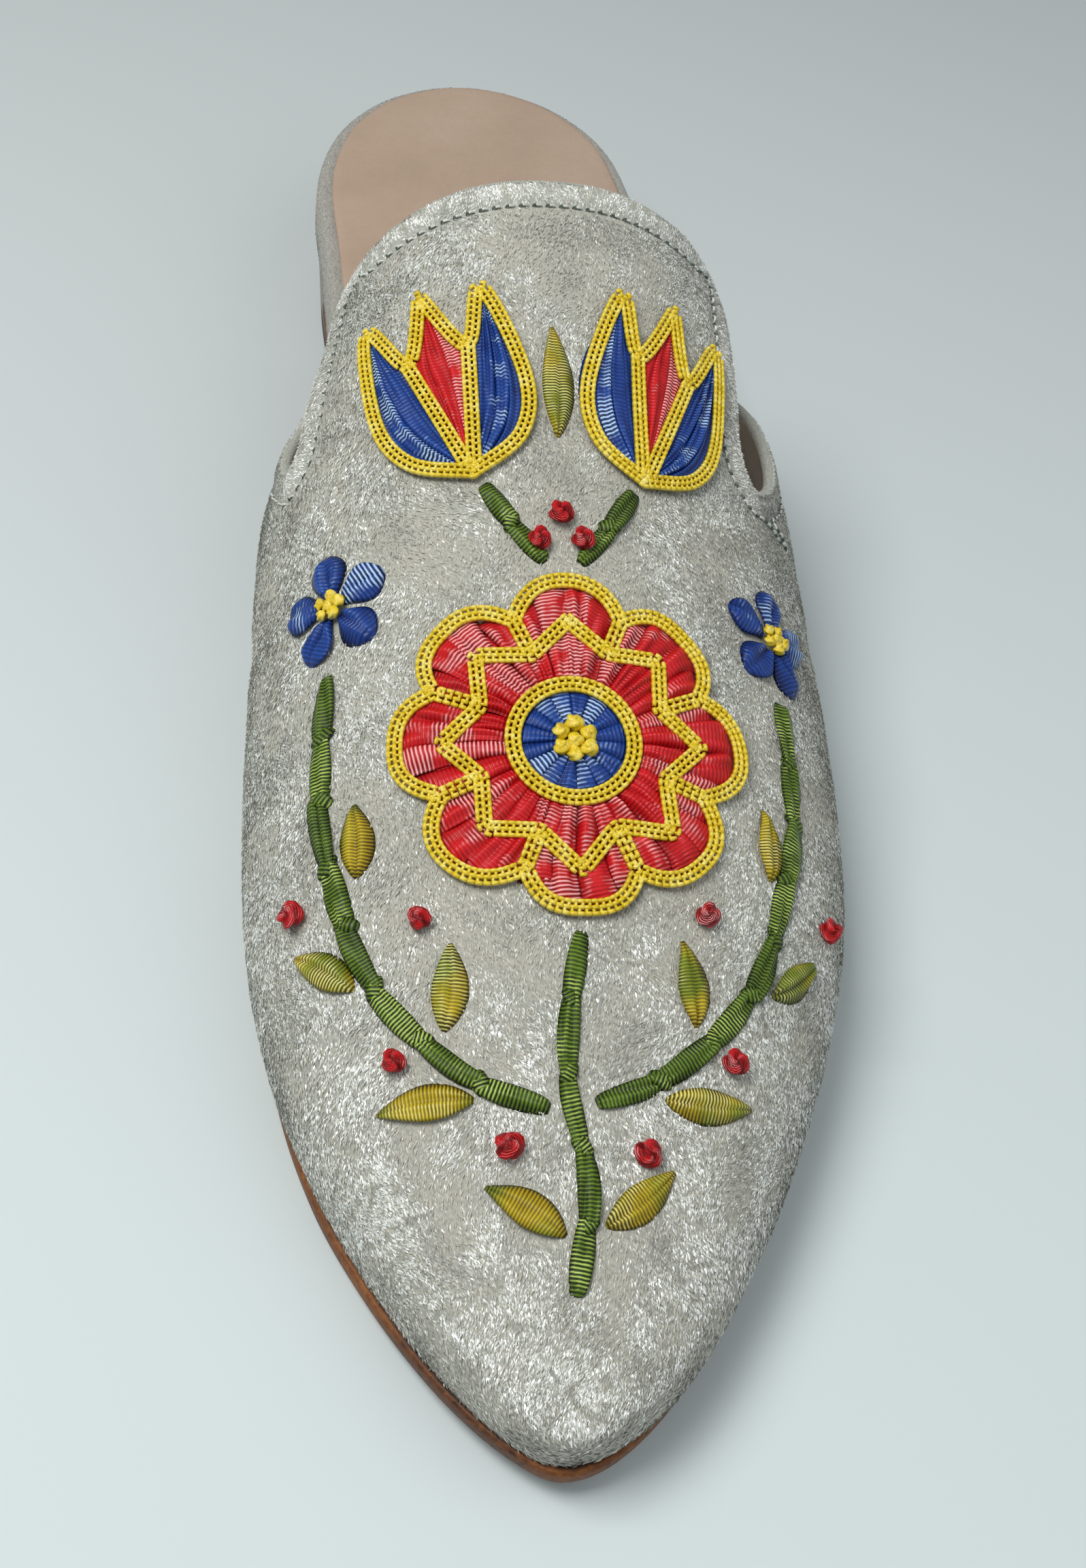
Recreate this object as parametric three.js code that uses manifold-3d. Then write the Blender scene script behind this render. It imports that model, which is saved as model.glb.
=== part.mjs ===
// Pointed flat mule for the left foot, in crushed velvet with raised ribbon embroidery.
// Millimetres, +Z up. The toe points along -Y and the outer side of the foot is +X.
// Pieces are drawn in the last's own measures: across (+ is the outer side), along (from the toe tip
// to the back of the heel) and up (from the floor). One group then centres the shoe on its footprint.
import * as THREE from "three";
import { mergeVertices } from "three/addons/utils/BufferGeometryUtils.js";
import Module from "manifold-3d";

const wasm = await Module();
wasm.setup();

// Driving dimensions
const SHOE_LENGTH = 268;
const PIECE_GAP = 0.3; // between pieces that touch on the real shoe
const UPPER_WALL = 1.8; // velvet, backing and lining
const TOE_WELT = 1.2; // how far the sole stands out past the foot of the upper, at the toe
const WAIST_WELT = 0.4; // and at the waist
const OUTSOLE_THICKNESS = 3.4;
const TOE_SPRING = 4.2;
const TREAD_START = 50; // the flat part of the sole that rests on the floor
const TREAD_END = 114;
const HEEL_BREAST = 210;
const SEAT_HEIGHT = 20; // top of the heel block
const HEEL_LIFT_THICKNESS = 4;
const HEEL_TAPER = 1.4; // how much narrower the heel is at the floor, on each side
const BREAST_HOLLOW = 2.2; // how far the front of the heel curves back at the floor
const INSOLE_FRONT_THICKNESS = 3.5;
const INSOLE_RIM_THICKNESS = 7.2;
const INSOLE_FRONT_INSET = 4; // keeps the board clear of the upper's inner face
const RIM_ROUND = 1.2;
const SOCK_THICKNESS = 1;
const SOCK_RIM_INSET = 2.8;
const SOCK_FRONT_INSET = 4.8;
const WING_END = 189; // where the sides of the upper stop
const LAST_END = 204; // the last's surface is worked out to here, past the throat
const BRAID_LIFT = 1.5; // how far the embroidery stands off the velvet

// Sole edge at each station: the inner and outer side, measured across from the toe tip.
const FOOTPRINT = [
  { along: 0, inner: 0, outer: 0 },
  { along: 2, inner: -4.8, outer: 6.6 },
  { along: 6, inner: -9.5, outer: 12 },
  { along: 15, inner: -17, outer: 20.2 },
  { along: 27, inner: -24.4, outer: 28.2 },
  { along: 40, inner: -30.6, outer: 35.4 },
  { along: 56, inner: -35.2, outer: 42.2 },
  { along: 76, inner: -37.4, outer: 47.6 },
  { along: 98, inner: -37.4, outer: 50 },
  { along: 120, inner: -36, outer: 50 },
  { along: 145, inner: -33, outer: 48 },
  { along: 168, inner: -27.8, outer: 43.6 },
  { along: 190, inner: -24.8, outer: 38.8 },
  { along: 212, inner: -25.2, outer: 35.6 },
  { along: 234, inner: -25.8, outer: 34 },
  { along: 250, inner: -21.8, outer: 30.4 },
  { along: 261, inner: -13.6, outer: 22.4 },
  { along: 266, inner: -5.4, outer: 14.2 },
  { along: 268, inner: 4.4, outer: 4.4 },
];

// Last sections: widest points, ridge line, height of the widest point over the sole, and fullness of
// each side (2 is an ellipse, more is boxier, less is more peaked).
const LAST = [
  { along: 1.2, inner: 0.2, outer: 0.2, ridge: 0.2, top: 14, belly: 4.2, fullInner: 2.5, fullOuter: 2.5 },
  { along: 3, inner: -5.4, outer: 7.4, ridge: 0.5, top: 16.6, belly: 4.3, fullInner: 2.5, fullOuter: 2.5 },
  { along: 6, inner: -9, outer: 12.3, ridge: 0.8, top: 18.1, belly: 4.4, fullInner: 2.45, fullOuter: 2.45 },
  { along: 12, inner: -14, outer: 18.4, ridge: 1.1, top: 19.9, belly: 4.7, fullInner: 2.4, fullOuter: 2.4 },
  { along: 21, inner: -20.2, outer: 25, ridge: 1.5, top: 22, belly: 5.1, fullInner: 2.35, fullOuter: 2.35 },
  { along: 31, inner: -26, outer: 31.2, ridge: 1.9, top: 24.6, belly: 5.6, fullInner: 2.3, fullOuter: 2.3 },
  { along: 42, inner: -31.4, outer: 36.9, ridge: 2.4, top: 27.9, belly: 6.2, fullInner: 2.25, fullOuter: 2.2 },
  { along: 57, inner: -36.6, outer: 43.4, ridge: 3, top: 32.8, belly: 7, fullInner: 2.2, fullOuter: 2.1 },
  { along: 75, inner: -39.6, outer: 48.8, ridge: 3.6, top: 38.6, belly: 8, fullInner: 2.15, fullOuter: 2 },
  { along: 96, inner: -40, outer: 51.4, ridge: 4.3, top: 44.8, belly: 9, fullInner: 2.1, fullOuter: 1.9 },
  { along: 122, inner: -38.9, outer: 52.2, ridge: 5.1, top: 52, belly: 10, fullInner: 2.1, fullOuter: 1.8 },
  { along: 140, inner: -37.8, outer: 51.7, ridge: 5.7, top: 57.4, belly: 10, fullInner: 2.1, fullOuter: 1.76 },
  { along: 150, inner: -36.8, outer: 51, ridge: 6, top: 60.4, belly: 10, fullInner: 2.1, fullOuter: 1.8 },
  { along: 160, inner: -33.9, outer: 49, ridge: 6.4, top: 63.3, belly: 9.2, fullInner: 2.15, fullOuter: 1.95 },
  { along: 170, inner: -30, outer: 46.2, ridge: 6.8, top: 66.1, belly: 8.2, fullInner: 2.2, fullOuter: 2.1 },
  { along: 180, inner: -27.1, outer: 42.6, ridge: 7.2, top: 68.8, belly: 7.2, fullInner: 2.3, fullOuter: 2.25 },
  { along: 190, inner: -25.5, outer: 39.6, ridge: 7.4, top: 71.2, belly: 6.2, fullInner: 2.35, fullOuter: 2.3 },
  { along: 204, inner: -24.8, outer: 37.4, ridge: 7.6, top: 74, belly: 5.5, fullInner: 2.35, fullOuter: 2.3 },
];

// Side view of the top edge of each wing, from the notch beside the tongue back to the foot board. The
// outer wing stands higher.
const WING_TAIL = 25.2;
const INNER_WING = [
  { along: 138, up: 44.6 },
  { along: 142, up: 41 },
  { along: 146, up: 37.6 },
  { along: 152, up: 33.8 },
  { along: 160, up: 30.4 },
  { along: 172, up: 27.8 },
  { along: 190, up: WING_TAIL },
];
const OUTER_WING = [
  { along: 138, up: 44.6 },
  { along: 142, up: 40.4 },
  { along: 146, up: 37.4 },
  { along: 150, up: 35.9 },
  { along: 157, up: 35 },
  { along: 165, up: 33.8 },
  { along: 173, up: 31.2 },
  { along: 181, up: 28 },
  { along: 190, up: WING_TAIL },
];
const CUT_HEIGHT = 110; // well above the tongue

// Plan of the tongue: slanting sides, a straight throat with round corners and a curved notch at each
// side, where the edge turns out along the wing.
const TONGUE = {
  innerNotch: 146,
  outerNotch: 141,
  notchRadius: 5,
  innerFoot: -31.6,
  outerFoot: 37.8,
  innerThroat: -25.4,
  outerThroat: 38,
  throat: 180.2,
  throatRise: 0.6, // the throat is this much fuller in its middle
  cornerRadius: 4.2,
};

// Embroidery: flowers are drawn flat on the surface at their place, in the last's across and along.
const ROSETTE = { across: 5.2, along: 90, radius: 25.5, petals: 8, scallop: 4.5, eyeRadius: 8.5 };
const EYE_GAP = 0.6; // between a flower and its eye
const TULIPS = [
  { name: "tulip_inner", across: -6.6, along: 131, lean: 0.15 },
  { name: "tulip_outer", across: 18.4, along: 131, lean: -0.15 },
];
const TULIP = { length: 32, halfWidth: 12, tipSpread: 9.5, cleft: 22 };
const DAISIES = [
  { name: "daisy_inner", across: -27, along: 117 },
  { name: "daisy_outer", across: 38.6, along: 114 },
];
const DAISY = { radius: 9.4, petals: 5, scallop: 3, eyeRadius: 2.6 };
const STEM_WIDTH = 3;
// Stem routes in plan, each a few points of one smooth line.
const STEMS = {
  stem_toe: [[1.4, 18], [3.6, 32], [1.8, 47], [4.8, 63.8]],
  stem_inner: [[-0.8, 41.4], [-13, 47], [-24.4, 62], [-29.4, 84], [-28, 106.4]],
  stem_outer: [[5.4, 41.4], [17, 46.4], [30, 60], [37.8, 82], [39, 103.4]],
  stem_tulip_inner: [[3, 117], [-1.6, 123.4], [-5.8, 130]],
  stem_tulip_outer: [[7.8, 117], [13, 123.4], [17.4, 130]],
};
// Leaves: the foot of each leaf, the way it points (degrees from the heel direction, outwards is
// positive) and its length.
const LEAVES = [
  { name: "leaf_toe_inner", across: 0.3, along: 25.4, turn: -56, length: 12 },
  { name: "leaf_toe_outer", across: 5.6, along: 26.4, turn: 54, length: 12 },
  { name: "leaf_inner_1", across: -10.6, along: 43, turn: -92, length: 13 },
  { name: "leaf_inner_2", across: -14.2, along: 52, turn: 10, length: 12 },
  { name: "leaf_inner_3", across: -25.6, along: 59.6, turn: -50, length: 11 },
  { name: "leaf_inner_4", across: -25, along: 74.4, turn: 6, length: 11 },
  { name: "leaf_outer_1", across: 14.8, along: 42.4, turn: 92, length: 13 },
  { name: "leaf_outer_2", across: 20, along: 52, turn: -10, length: 12 },
  { name: "leaf_outer_3", across: 32, along: 58, turn: 50, length: 11 },
  { name: "leaf_outer_4", across: 33.4, along: 74, turn: -8, length: 11 },
  { name: "leaf_throat", across: 5.9, along: 137, turn: 0, length: 19 },
];
const LEAF_HALF_WIDTH = 2.2;

// Mesh fineness
const UPPER_STATIONS = 28;
const UPPER_FACES = 28; // round each section
const SOLE_STATIONS = 34;
const SOLE_COLUMNS = 3;
const ROUND_STEPS = 6;

const VELVET = new THREE.MeshStandardMaterial({ color: 0xb4b1a8, roughness: 0.7 });
const LEATHER = new THREE.MeshStandardMaterial({ color: 0x9a5426, roughness: 0.5 });
const TAN = new THREE.MeshStandardMaterial({ color: 0xb09680, roughness: 0.55 });
const TAUPE = new THREE.MeshStandardMaterial({ color: 0x857c74, roughness: 0.6 });
const RUBBER = new THREE.MeshStandardMaterial({ color: 0x2c302e, roughness: 0.7 });
const RED = new THREE.MeshStandardMaterial({ color: 0xd8303c, roughness: 0.4 });
const BLUE = new THREE.MeshStandardMaterial({ color: 0x2b4aa0, roughness: 0.4 });
const GOLD = new THREE.MeshStandardMaterial({ color: 0xe0b41c, roughness: 0.35, metalness: 0.3 });
const GREEN = new THREE.MeshStandardMaterial({ color: 0x5a7a22, roughness: 0.45 });
const LIME = new THREE.MeshStandardMaterial({ color: 0xa89030, roughness: 0.45 });

// Smooth curve through one column of a table, by cubic spans; spacing says how stations are spread.
function columnCurve(rows, column, spacing) {
  const at = rows.map((row) => spacing(row.along));
  const value = rows.map((row) => row[column]);
  const last = rows.length - 1;
  const slope = value.map((_, i) => {
    const before = Math.max(i - 1, 0);
    const after = Math.min(i + 1, last);
    return (value[after] - value[before]) / (at[after] - at[before]);
  });
  return (along) => {
    const x = THREE.MathUtils.clamp(spacing(along), at[0], at[last]);
    let i = 0;
    while (i < last - 1 && x > at[i + 1]) i++;
    const span = at[i + 1] - at[i];
    const u = (x - at[i]) / span;
    const rise = u * u * (3 - 2 * u);
    const leave = u * (1 - u) * (1 - u) * slope[i];
    const arrive = u * u * (1 - u) * slope[i + 1];
    return value[i] + (value[i + 1] - value[i]) * rise + span * (leave - arrive);
  };
}

const smoothstep = (x, low, high) => THREE.MathUtils.smoothstep(x, low, high);

// Round at both ends, so the toe tip and the heel close in a curve.
const soleSpacing = (along) => Math.acos(1 - (2 * along) / SHOE_LENGTH);
const soleInner = columnCurve(FOOTPRINT, "inner", soleSpacing);
const soleOuter = columnCurve(FOOTPRINT, "outer", soleSpacing);

// Underside of the outsole: toe spring, flat tread, then the waist rising to the heel seat.
function soleBottom(along) {
  const spring = TOE_SPRING * Math.max(0, 1 - along / TREAD_START) ** 2;
  const waist = (SEAT_HEIGHT - OUTSOLE_THICKNESS) * smoothstep(along, TREAD_END, HEEL_BREAST);
  return spring + waist;
}
const soleTop = (along) => soleBottom(along) + OUTSOLE_THICKNESS;

// A point of the sole's edge, moved in square to the edge by inset.
function edgePoint(side, angle, inset) {
  const step = 1e-3;
  const place = (a) => {
    const along = (SHOE_LENGTH * (1 - Math.cos(a))) / 2;
    return new THREE.Vector2(side(along), along);
  };
  const here = place(angle);
  const way = place(Math.min(angle + step, Math.PI)).sub(place(Math.max(angle - step, 0))).normalize();
  const inwards = side === soleInner ? new THREE.Vector2(way.y, -way.x) : new THREE.Vector2(-way.y, way.x);
  return here.addScaledVector(inwards, inset);
}

// Turns rings of equal length, each a closed loop of points, into a closed mesh with flat ends.
function loft(rings) {
  const count = rings[0].length;
  const positions = rings.flat().flatMap((p) => [p.x, p.y, p.z]);
  const index = [];
  for (let i = 0; i + 1 < rings.length; i++) {
    for (let j = 0; j < count; j++) {
      const a = i * count + j;
      const b = i * count + ((j + 1) % count);
      index.push(a, b, b + count, a, b + count, a + count);
    }
  }
  const endRing = (rings.length - 1) * count;
  for (let j = 1; j + 1 < count; j++) {
    index.push(0, j + 1, j);
    index.push(endRing, endRing + j, endRing + j + 1);
  }
  const geometry = new THREE.BufferGeometry();
  geometry.setAttribute("position", new THREE.Float32BufferAttribute(positions, 3));
  geometry.setIndex(index);
  return geometry;
}

// Geometry to solid, turned the right way out, and back.
function solid(geometry) {
  const bare = geometry.clone();
  bare.deleteAttribute("normal");
  bare.deleteAttribute("uv");
  const merged = mergeVertices(bare, 1e-4);
  const vertProperties = new Float32Array(merged.attributes.position.array);
  const triVerts = new Uint32Array(merged.index.array);
  const made = new wasm.Manifold(new wasm.Mesh({ numProp: 3, vertProperties, triVerts }));
  if (made.volume() > 0) return made;
  const flipped = triVerts.map((_, k) => triVerts[k - (k % 3) + [0, 2, 1][k % 3]]);
  return new wasm.Manifold(new wasm.Mesh({ numProp: 3, vertProperties, triVerts: flipped }));
}

function geometryOf(made) {
  const mesh = made.getMesh();
  const geometry = new THREE.BufferGeometry();
  geometry.setAttribute("position", new THREE.BufferAttribute(mesh.vertProperties, mesh.numProp));
  geometry.setIndex(new THREE.BufferAttribute(mesh.triVerts, 1));
  return geometry;
}

function piece(name, made, material) {
  const mesh = new THREE.Mesh(geometryOf(made), material);
  mesh.name = name;
  return mesh;
}

// A plate that follows the sole: its edge is inset by a given amount at each station, its faces follow
// two height curves, and its top edge is rounded by round. Stations are even, plus one at each break.
function solePlate({ from, to, inset, bottom, top, round, breaks }) {
  const first = soleSpacing(from);
  const final = soleSpacing(to);
  const even = Array.from({ length: SOLE_STATIONS + 1 }, (_, i) => first + ((final - first) * i) / SOLE_STATIONS);
  const angles = [...even, ...breaks.map(soleSpacing)].sort((a, b) => a - b);
  const rings = angles.map((angle) => {
    const along = (SHOE_LENGTH * (1 - Math.cos(angle))) / 2;
    const innerEdge = edgePoint(soleInner, angle, inset(along));
    const outerEdge = edgePoint(soleOuter, angle, inset(along));
    const width = innerEdge.distanceTo(outerEdge);
    const ease = Math.min(round, width / 4) / width;
    const ring = [];
    const add = (share, height) => {
      const plan = innerEdge.clone().lerp(outerEdge, share);
      ring.push(new THREE.Vector3(plan.x, plan.y, height(plan.y)));
    };
    for (let j = 0; j <= SOLE_COLUMNS; j++) add(j / SOLE_COLUMNS, bottom);
    add(1, (y) => top(y) - round);
    for (let j = 0; j <= SOLE_COLUMNS; j++) add(1 - ease - (1 - 2 * ease) * (j / SOLE_COLUMNS), top);
    add(0, (y) => top(y) - round);
    return ring;
  });
  return solid(loft(rings));
}

// The last's outer surface. Stations crowd towards the toe, so that it closes in a round tip.
const lastSpacing = (along) => Math.sqrt(Math.max(along - LAST[0].along, 0) / (LAST_END - LAST[0].along));
const lastCurves = Object.fromEntries(
  Object.keys(LAST[0]).slice(1).map((column) => [column, columnCurve(LAST, column, lastSpacing)]),
);
const weltAt = (along) => THREE.MathUtils.lerp(TOE_WELT, WAIST_WELT, smoothstep(along, TREAD_START, TREAD_END));
const BELLY_SHARE = 2 / 7; // part of each side's girth that lies below its widest point

// A point of the last: station runs from 0 at the toe to 1 behind the throat, and girth from 0 at the
// inner sole edge over the ridge (0.5) to 1 at the outer sole edge.
function lastPoint(station, girth) {
  const along = LAST[0].along + (LAST_END - LAST[0].along) * station * station;
  const at = Object.fromEntries(Object.entries(lastCurves).map(([column, curve]) => [column, curve(along)]));
  const onInner = girth < 0.5;
  const widest = (onInner ? at.inner : at.outer) - at.ridge;
  const soleEdge = (onInner ? soleInner : soleOuter)(along) - at.ridge;
  const footReach = Math.min(Math.abs(soleEdge) - weltAt(along), Math.abs(widest));
  const foot = Math.sign(widest) * Math.max(footReach, Math.abs(widest) / 2);
  const footHeight = soleTop(along) + PIECE_GAP;
  const belly = footHeight + at.belly;
  const climb = 1 - Math.abs(2 * girth - 1); // 0 at the sole edge, 1 on the ridge
  if (climb < BELLY_SHARE) {
    const angle = (climb / BELLY_SHARE) * (Math.PI / 2);
    return new THREE.Vector3(
      at.ridge + foot + (widest - foot) * Math.sin(angle),
      along,
      belly - at.belly * Math.cos(angle),
    );
  }
  const angle = ((climb - BELLY_SHARE) / (1 - BELLY_SHARE)) * (Math.PI / 2);
  const power = 2 / (onInner ? at.fullInner : at.fullOuter);
  return new THREE.Vector3(
    at.ridge + widest * Math.max(Math.cos(angle), 0) ** power,
    along,
    belly + (at.top - belly) * Math.sin(angle) ** power,
  );
}

// The way out of the last, square to its surface.
function lastNormal(station, girth) {
  const step = 2e-3;
  const before = THREE.MathUtils.clamp(girth - step, 0, 1);
  const after = THREE.MathUtils.clamp(girth + step, 0, 1);
  const round = lastPoint(station, after).sub(lastPoint(station, before));
  const down = lastPoint(station + step, girth).sub(lastPoint(Math.max(station - step, 1e-3), girth));
  return round.cross(down).normalize();
}

const liftedPoint = (station, girth, lift) =>
  lastPoint(station, girth).addScaledVector(lastNormal(station, girth), lift);

// The place on the upper part of the last over a point in plan.
function onLast(across, along) {
  const station = lastSpacing(along);
  let low = BELLY_SHARE / 2;
  let high = 1 - BELLY_SHARE / 2;
  for (let k = 0; k < 30; k++) {
    const half = (low + high) / 2;
    if (lastPoint(station, half).x < across) low = half;
    else high = half;
  }
  return { point: lastPoint(station, low), outwards: lastNormal(station, low) };
}

// A flat drawing frame on the last: sideways, up the foot and outwards, turned about the outward way.
function frameOn(across, along, turn) {
  const { point, outwards } = onLast(across, along);
  const sideways = new THREE.Vector3(0, 1, 0).cross(outwards).normalize();
  const upFoot = outwards.clone().cross(sideways);
  return new THREE.Matrix4().makeBasis(sideways, upFoot, outwards)
    .multiply(new THREE.Matrix4().makeRotationZ(turn))
    .setPosition(point);
}

// The last as a closed solid, lifted off its surface, with its floor dropped by drop and its back end
// pushed out by extend.
function lastSolid(lift, drop, extend) {
  const FIRST_STATION = 0.02;
  const rings = [];
  for (let i = 0; i <= UPPER_STATIONS; i++) {
    const station = FIRST_STATION + ((1 - FIRST_STATION) * i) / UPPER_STATIONS;
    const ring = [];
    for (let j = 0; j <= UPPER_FACES; j++) ring.push(liftedPoint(station, j / UPPER_FACES, lift));
    if (i === UPPER_STATIONS) ring.forEach((p) => (p.y += extend));
    if (drop > 0) {
      ring.push(ring[UPPER_FACES].clone().setZ(ring[UPPER_FACES].z - drop));
      ring.push(ring[0].clone().setZ(ring[0].z - drop));
    }
    rings.push(ring);
  }
  return solid(loft(rings));
}

// A flat shape drawn across and along, pulled straight up through the whole shoe.
function planPrism(points) {
  const shape = new THREE.Shape(points);
  return solid(new THREE.ExtrudeGeometry(shape, { depth: CUT_HEIGHT, bevelEnabled: false }));
}

// Points of a quarter round between two directions about a centre, in plan.
function roundCorner(centre, radius, from, to) {
  const corner = [];
  for (let k = 0; k <= ROUND_STEPS; k++) {
    const angle = from + ((to - from) * k) / ROUND_STEPS;
    corner.push(new THREE.Vector2(centre[0] + radius * Math.cos(angle), centre[1] + radius * Math.sin(angle)));
  }
  return corner;
}

// Plan of what is kept above the wings: all of the forefoot, and the tongue behind the notches.
function tonguePlan() {
  const t = TONGUE;
  const WIDE = 90;
  const radius = t.cornerRadius;
  const innerNotch = [t.innerFoot - t.notchRadius, t.innerNotch + t.notchRadius];
  const outerNotch = [t.outerFoot + t.notchRadius, t.outerNotch + t.notchRadius];
  const innerCorner = [t.innerThroat + radius, t.throat - radius];
  const outerCorner = [t.outerThroat - radius, t.throat - radius];
  const throat = new THREE.QuadraticBezierCurve(
    new THREE.Vector2(outerCorner[0], t.throat),
    new THREE.Vector2((innerCorner[0] + outerCorner[0]) / 2, t.throat + 2 * t.throatRise),
    new THREE.Vector2(innerCorner[0], t.throat),
  );
  return [
    new THREE.Vector2(-WIDE, -WIDE),
    new THREE.Vector2(WIDE, -WIDE),
    new THREE.Vector2(WIDE, t.outerNotch),
    ...roundCorner(outerNotch, t.notchRadius, (3 * Math.PI) / 2, Math.PI),
    ...roundCorner(outerCorner, radius, 0, Math.PI / 2),
    ...throat.getPoints(ROUND_STEPS).slice(1, -1),
    ...roundCorner(innerCorner, radius, Math.PI / 2, Math.PI),
    ...roundCorner(innerNotch, t.notchRadius, 0, -Math.PI / 2),
    new THREE.Vector2(-WIDE, t.innerNotch),
  ];
}

// Everything over one wing's line, between two places across the shoe.
function aboveWing(wing, from, to) {
  const BEHIND = 60;
  const line = new THREE.CatmullRomCurve3(wing.map((p) => new THREE.Vector3(0, p.along, p.up)));
  const shape = [
    ...line.getPoints(3 * ROUND_STEPS).map((p) => new THREE.Vector2(p.y, p.z)),
    new THREE.Vector2(wing.at(-1).along + BEHIND, WING_TAIL),
    new THREE.Vector2(wing.at(-1).along + BEHIND, CUT_HEIGHT),
    new THREE.Vector2(wing[0].along, CUT_HEIGHT),
  ];
  const side = new THREE.ExtrudeGeometry(new THREE.Shape(shape), { depth: to - from, bevelEnabled: false });
  // drawn as along and up, pulled across
  side.applyMatrix4(new THREE.Matrix4().makeBasis(
    new THREE.Vector3(0, 1, 0), new THREE.Vector3(0, 0, 1), new THREE.Vector3(1, 0, 0),
  ));
  side.translate(from, 0, 0);
  return solid(side);
}

// Everything behind the wings and below the tongue.
function behindWings() {
  const WIDE = 180;
  const box = new THREE.BoxGeometry(WIDE, WIDE, WING_TAIL + 1);
  box.translate(0, WING_END + WIDE / 2, (WING_TAIL + 1) / 2);
  return solid(box);
}

function makeUpper() {
  const FLOOR_DROP = 12;
  const shell = lastSolid(0, 0, 0).subtract(lastSolid(-UPPER_WALL, FLOOR_DROP, FLOOR_DROP));
  const WIDE = 90;
  const MIDDLE = 1; // the two cuts overlap by this much on each side of the middle
  const wingCuts = aboveWing(INNER_WING, -WIDE, MIDDLE).add(aboveWing(OUTER_WING, -MIDDLE, WIDE));
  const sideCuts = wingCuts.subtract(planPrism(tonguePlan()));
  return piece("upper", shell.subtract(sideCuts).subtract(behindWings()), VELVET);
}

function makeOutsole() {
  const plate = solePlate({
    from: 0.06,
    to: HEEL_BREAST - PIECE_GAP,
    inset: () => 0,
    bottom: soleBottom,
    top: soleTop,
    round: 0.6,
    breaks: [TREAD_START, TREAD_END],
  });
  return piece("outsole", plate, LEATHER);
}

// The board steps out to the full width of the sole just behind the wings.
function makeInsole() {
  const stepStart = WING_END + PIECE_GAP;
  const stepEnd = stepStart + 0.8;
  const plate = solePlate({
    from: INSOLE_FRONT_INSET + TOE_WELT,
    to: SHOE_LENGTH - 0.06,
    inset: (along) => INSOLE_FRONT_INSET * (1 - smoothstep(along, stepStart, stepEnd)),
    bottom: (along) => soleTop(along) + PIECE_GAP,
    top: insoleTop,
    round: RIM_ROUND,
    breaks: [stepStart, stepEnd],
  });
  return piece("insole", plate, VELVET);
}

function insoleTop(along) {
  const thicken = smoothstep(along, TREAD_END, WING_END);
  const thickness = INSOLE_FRONT_THICKNESS + (INSOLE_RIM_THICKNESS - INSOLE_FRONT_THICKNESS) * thicken;
  return soleTop(along) + PIECE_GAP + thickness;
}

function makeSock() {
  const plate = solePlate({
    from: SOCK_FRONT_INSET + 2 * TOE_WELT,
    to: SHOE_LENGTH - 0.06,
    inset: (along) => THREE.MathUtils.lerp(
      SOCK_FRONT_INSET,
      SOCK_RIM_INSET,
      smoothstep(along, WING_END - SOCK_FRONT_INSET, WING_END + SOCK_FRONT_INSET),
    ),
    bottom: (along) => insoleTop(along) + PIECE_GAP,
    top: (along) => insoleTop(along) + PIECE_GAP + SOCK_THICKNESS,
    round: 0.3,
    breaks: [],
  });
  return piece("sock", plate, TAN);
}

// One level of the heel: the sole's edge behind the breast, inset, with a breast that hollows downwards.
function heelRing(height, inset) {
  const BACK_STEPS = 15;
  const BREAST_STEPS = 5;
  const hollow = BREAST_HOLLOW * (1 - height / SEAT_HEIGHT);
  const start = soleSpacing(HEEL_BREAST);
  const sideOf = (side) =>
    Array.from({ length: BACK_STEPS }, (_, k) => {
      const angle = start + ((Math.PI - start) * k) / BACK_STEPS;
      return edgePoint(side, angle, inset);
    });
  const innerSide = sideOf(soleInner);
  const outerSide = sideOf(soleOuter);
  const breast = Array.from({ length: BREAST_STEPS }, (_, k) => {
    const share = (k + 1) / (BREAST_STEPS + 1);
    const p = outerSide[0].clone().lerp(innerSide[0], share);
    return p.setY(p.y + hollow * Math.sin(share * Math.PI));
  });
  const back = edgePoint(soleInner, Math.PI - 1e-3, inset);
  const loop = [...innerSide, back, ...outerSide.reverse(), ...breast];
  return loop.map((p) => new THREE.Vector3(p.x, p.y, height));
}

function makeHeel() {
  const insetAt = (height) => 0.5 + HEEL_TAPER * (1 - height / SEAT_HEIGHT);
  const level = (height) => heelRing(height, insetAt(height));
  const LEVELS = 4;
  const bottom = HEEL_LIFT_THICKNESS + PIECE_GAP;
  const heights = Array.from({ length: LEVELS + 1 }, (_, k) => bottom + ((SEAT_HEIGHT - bottom) * k) / LEVELS);
  return [
    piece("heel", solid(loft(heights.map(level))), TAUPE),
    piece("heel_lift", solid(loft([0, HEEL_LIFT_THICKNESS].map(level))), RUBBER),
  ];
}

// Outline of a flower head about its own middle: rounded petals.
function flowerOutline({ radius, petals, scallop }) {
  const STEPS_PER_PETAL = 5;
  return Array.from({ length: petals * STEPS_PER_PETAL }, (_, k) => {
    const angle = (2 * Math.PI * k) / (petals * STEPS_PER_PETAL);
    const reach = radius - scallop * (1 - Math.abs(Math.cos((angle * petals) / 2))) ** 1.5;
    return new THREE.Vector2(reach * Math.sin(angle), reach * Math.cos(angle));
  });
}

const disc = (radius) => flowerOutline({ radius, petals: 4, scallop: 0 });

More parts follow.
